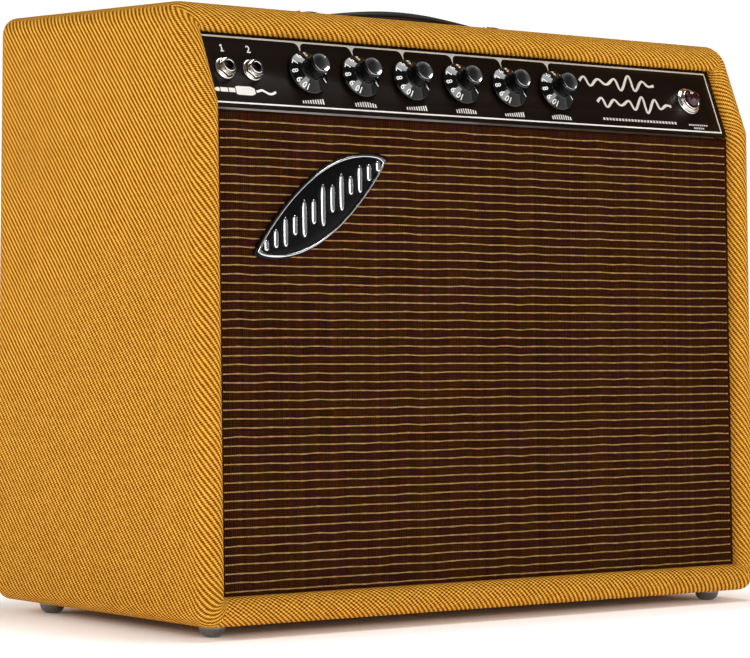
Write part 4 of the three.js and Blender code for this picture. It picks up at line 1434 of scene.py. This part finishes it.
# ---- Back of the chassis -----------------------------------------------------------------
def add_rear():
    smooth_edges("mains_inlet", [MOULDED_BLACK], 0.5, 3)
    holder = [(0, -32), (6.3, -32), (6.3, 0.3), (8.4, 0.3), (8.4, 2.2), (7.8, 3), (4.7, 3), (4.7, -30), (0,
            -30)]
    make("fuse_holder_body", turned(rounded(holder, 0.4, 3), 40), [MOULDED_BLACK],
         place=REAR @ at(FUSE_X, 0), stands_for=["fuse_holder"])
    cap = rounded([(0, -12), (3.9, -12), (3.9, 3.3), (7, 3.3), (7, 10.5), (6.2, 11.5), (0, 11.5)], 0.5, 3)
    ridges = lambda angle, height: -0.3 * (0.5 + 0.5 * math.cos(18 * angle)) if 4 < height < 10 else 0.0
    cap_shape = Shape().add(turned(cap, 108, flute=ridges))
    cap_shape.add(boxed((-3.2, -0.55, 11.2), (3.2, 0.55, 11.52), 0), paint=1)
    make("fuse_cap_moulding", cap_shape, [MOULDED_BLACK, NICKEL], "fuse_cap",
         REAR @ at(FUSE_X, 0), ["fuse_cap"])

    bush = [(0, -4), (3.5, -4), (3.5, 7), (5.8, 7), (5.8, 4), (7.6, 4), (7.6, 0.3), (5.8, 0.3), (5.8, -2),
            (9, -2), (9, -18), (0, -18)]
    make("power_switch_bush", turned(rounded(bush, 0.3, 2), 40), [NICKEL],
         place=REAR @ at(SWITCH_X, 0),
         stands_for=["power_switch_body"])
    lever = rounded([(0, -2.4), (1.8, -1.6), (2.4, 0), (1.4, 2), (1.5, 8), (2.6, 16), (2.2, 18.4), (0, 19)],
                    1.0, 4)
    tilt = Matrix.Rotation(math.radians(-12.5), 4, "X")
    make("power_switch_bat", turned(lever, 32), [CHROME], "power_switch_lever",
         REAR @ at(SWITCH_X, 0) @ tilt,
         ["power_switch_lever"])
    screws = Shape()
    for x, y in ((-218, 0), (218, 0), (-30, 12), (30, 12)):
        screw(REAR @ at(x, y), screws, 3.0, 1.4, 4.4)
    make("chassis_screws", screws, [NICKEL, MOULDED_BLACK])


# ---- Loudspeaker -------------------------------------------------------------------------
WINDOWS = 8


def basket_shape():
    """The pressed basket as one sheet, open between its arms."""
    profile = [(127.4, -0.7), (127.4, -2.4), (113.2, -2.4), (111.5, -8), (109.4, -17), (103, -22), (92,
            -31), (80, -41.5), (68, -52),
               (63, -56.5), (61.4, -58.5), (61.4, -65.3), (40, -65.3), (22.5, -65.3)]
    sides = 128
    points, faces = turned(profile, sides)
    kept = []
    for index, face in enumerate(faces):
        row, column = divmod(index, sides)
        share = (column * WINDOWS / sides) % 1
        if 5 <= row <= 8 and 0.16 < share < 0.84:
            continue
        kept.append(face)
    return single((points, kept))


def add_speaker():
    place = LEANING @ at(0, SPEAKER_S, BAFFLE_BACK_N - 0.3)
    basket = make("speaker_basket", basket_shape(), [IRON_BLACK], place=place,
                  stands_for=["speaker_frame"])
    wall = basket.modifiers.new("sheet", "SOLIDIFY")
    wall.thickness, wall.offset = 1.3 * MM, 0
    rim = basket.modifiers.new("round", "BEVEL")
    rim.width, rim.segments, rim.limit_method = 0.4 * MM, 2, "ANGLE"

    gasket = rounded([(107.6, -0.3), (127.5, -0.3), (127.5, -0.05), (107.6, -0.05)], 0.1, 1)
    make("speaker_gasket", turned(gasket, 96, closed=True), [FELT], place=place)
    magnet = Shape()
    plate = rounded([(21.2, -66.3), (45, -66.3), (45, -71), (21.2, -71)], 0.6, 2)
    magnet.add(turned(plate, 72, closed=True))
    magnet.add(turned(rounded([(21.2, -71), (60, -71), (60, -90), (21.2, -90)], 1.2, 3), 96, closed=True),
               paint=1)
    magnet.add(turned(rounded([(0, -90), (49, -90), (50, -91), (50, -95), (49, -96), (9, -96), (8, -95.2),
                               (0, -95.2)], 0.6, 3), 72))
    magnet.add(turned(rounded([(0, -66.3), (17.6, -66.3), (17.6, -90), (0, -90)], 0.5, 2), 48))
    make("speaker_magnet_stack", magnet, [STEEL, FERRITE], place=place,
         stands_for=["speaker_magnet"])

    profile = [(0, -33), (8, -34), (14, -36), (18.6, -40), (22, -43)]
    ribs = 40
    for k in range(ribs + 1):
        radius = 24 + (98 - 24) * k / ribs
        profile.append((radius, -43.5 + 38.7 * k / ribs + 0.35 * math.sin(k * 1.57)))
    profile += [(99.2, -4.6), (100.3, -3.2), (101.4, -4.7), (102.5, -3.2), (103.5, -4.6), (104.5, -4.6)]
    cone = make("speaker_cone_paper", turned(profile, 96), [CONE], "speaker_cone", place,
                ["speaker_cone"])
    paper = cone.modifiers.new("sheet", "SOLIDIFY")
    paper.thickness, paper.offset = 0.7 * MM, 0
    coil = turned([(18.6, -44), (18.6, -71.5), (19.2, -71.5), (19.2, -44)], 64, closed=True)
    make("speaker_voice_coil", coil, [ALUMINIUM], "speaker_cone", place)
    spider = [(19.4, -50.0)]
    spider += [(20 + 1.4 * k, -50.0 + (0.9 if k % 2 else -0.9)) for k in range(1, 25)]
    make("speaker_spider", turned(spider, 72), [FELT], "speaker_cone", place)
    terminals = Shape()
    terminals.add(boxed((-13, 63, -64), (13, 66.5, -48), 0.5), paint=1)
    for x in (-6, 6):
        terminals.add(boxed((x - 2.6, 66.3, -60), (x + 2.6, 67.2, -45), 0.3))
    make("speaker_terminals", terminals, [NICKEL, FIBRE_BOARD], place=place)
    bolts = Shape()
    for k in range(8):
        angle = math.radians(22.5 + 45 * k)
        seat = at(120.5 * math.cos(angle), 120.5 * math.sin(angle), -3.0) @ Matrix.Rotation(math.pi, 4, "X")
        bolts.add(slab([circle(0, 0, 4.4, 6, angle)], 3.2, 0.4, 2), seat)
        bolts.add(turned(rounded([(0, 0), (2.0, 0), (2.0, 7), (0, 7)], 0.4, 2), 20), seat)
        bolts.add(turned([(2.1, -0.05), (6.2, -0.05), (6.2, 0.8), (2.1, 0.8)], 28, closed=True), seat)
    make("speaker_bolts", bolts, [NICKEL], place=place)


def add_tank():
    smooth_edges("reverb_tank", [STEEL], 0.8, 3)
    low, high = box_mm("reverb_tank")
    details = Shape()
    for side in (-1, 1):
        seat = facing((side * 172, high.y, high.z - 14), (0, 1, 0))
        details.add(turned(rounded([(0, 0), (5.6, 0), (5.6, 1.2), (4.2, 1.4), (4.2, 8), (3.4, 8), (3.4,
                1.5), (0, 1.5)], 0.3, 2), 32), seat)
        details.add(turned(rounded([(0, 1.5), (1.5, 1.5), (1.5, 6), (0, 6)], 0.3, 2), 16), seat, 1)
    for x in (-200, 200):
        for y in (low.y + 9, high.y - 9):
            screw(at(x, y, high.z), details, 3.2, 1.4, 4.2)
    make("reverb_tank_fittings", details, [NICKEL, MOULDED_BLACK])


# ---- Stage, lights and camera ------------------------------------------------------------
def add_stage():
    mesh = bpy.data.meshes.new("floor")
    reach = 9.0
    mesh.from_pydata([(-reach, -reach, 0), (reach, -reach, 0), (reach, reach, 0), (-reach, reach, 0)], [],
                     [(0, 1, 2, 3)])
    floor = linked("floor", mesh)
    mesh.materials.append(floor_paint())


def softbox(name, direction, distance, width, height, brightness, colour=(1, 1, 1)):
    """An area light aimed at the middle of the cabinet. brightness is what it looks like itself."""
    data = bpy.data.lights.new(name, "AREA")
    data.shape = "RECTANGLE"
    data.size, data.size_y = width, height
    data.energy = brightness * math.pi * width * height
    data.color = colour
    lamp = linked(name, data)
    middle = Vector((0, 0, 0.2))
    lamp.location = middle + Vector(direction).normalized() * distance
    lamp.rotation_euler = (middle - lamp.location).to_track_quat("-Z", "Y").to_euler()


# Levels by height, from the horizon at 0.5 to straight up at 1, and the side kept dark.
SKY_LEVELS = [(0.565, 1.0), (0.62, 0.30), (0.72, 0.10), (1.0, 0.12)]
DARK_SIDE = (0.94, -0.34, 0.0)
SKY_STRENGTH = 1.06


def add_light():
    world = bpy.data.worlds.new("studio")
    bpy.context.scene.world = world
    world.use_nodes = True
    f = Nodes(world.node_tree)
    direction = f.node("TexCoord").outputs["Generated"]
    height = f.between(f.split(direction)[2], 0.5, 1.0)
    sky = f.ramp(height, *[(place, grey(level)) for place, level in SKY_LEVELS])
    toward_right = f.node("VectorMath", direction, DARK_SIDE, operation="DOT_PRODUCT").outputs["Value"]
    shade = f.node("MapRange", toward_right, 0.5, 0.78, 1.0, 0.22).outputs["Result"]
    background = f.tree.nodes["Background"]
    f.tree.links.new(f.scaled(sky, shade), background.inputs[0])
    background.inputs[1].default_value = SKY_STRENGTH
    softbox("top_light", (0.16, -0.22, 0.956), 1.6, 0.75, 0.6, 8.0)
    softbox("front_light", (-0.06, -0.976, 0.17), 2.0, 0.6, 0.7, 8.0)
    softbox("side_light", (-1.0, 0.05, 0.35), 2.2, 1.3, 1.2, 3.2)


# The camera solved from the cabinet's edges: where it stands, how it turns and its lens.
CAMERA_PLACE = (-1.4255, -1.6809, 0.2179)
CAMERA_YAW, CAMERA_PITCH, CAMERA_ROLL = 39.99, -0.58, 0.716
SENSOR_MM, LENS_MM = 36, 149.67


def add_camera():
    data = bpy.data.cameras.new("camera")
    data.sensor_width, data.lens = SENSOR_MM, LENS_MM
    data.clip_end = 50
    camera = linked("camera", data)
    yaw, pitch, roll = [math.radians(a) for a in (CAMERA_YAW, CAMERA_PITCH, CAMERA_ROLL)]
    forward = Vector((math.sin(yaw) * math.cos(pitch), math.cos(yaw) * math.cos(pitch), math.sin(pitch)))
    level = Vector((math.cos(yaw), -math.sin(yaw), 0))
    over = level.cross(forward)
    right = level * math.cos(roll) + over * math.sin(roll)
    up = over * math.cos(roll) - level * math.sin(roll)
    camera.matrix_world = Matrix.Translation(CAMERA_PLACE) @ Matrix((right, up,
            -forward)).transposed().to_4x4()
    bpy.context.scene.camera = camera


add_stage()
add_light()
add_camera()
bpy.context.scene.view_settings.view_transform = "Standard"

add_cabinet()
smooth_edges("baffle_board", [PLY_BLACK], 0.5)
add_grille()
add_badge()
add_panel()
add_knobs()
add_fittings()
add_handle()
add_chassis()
add_rear()
add_speaker()
add_tank()
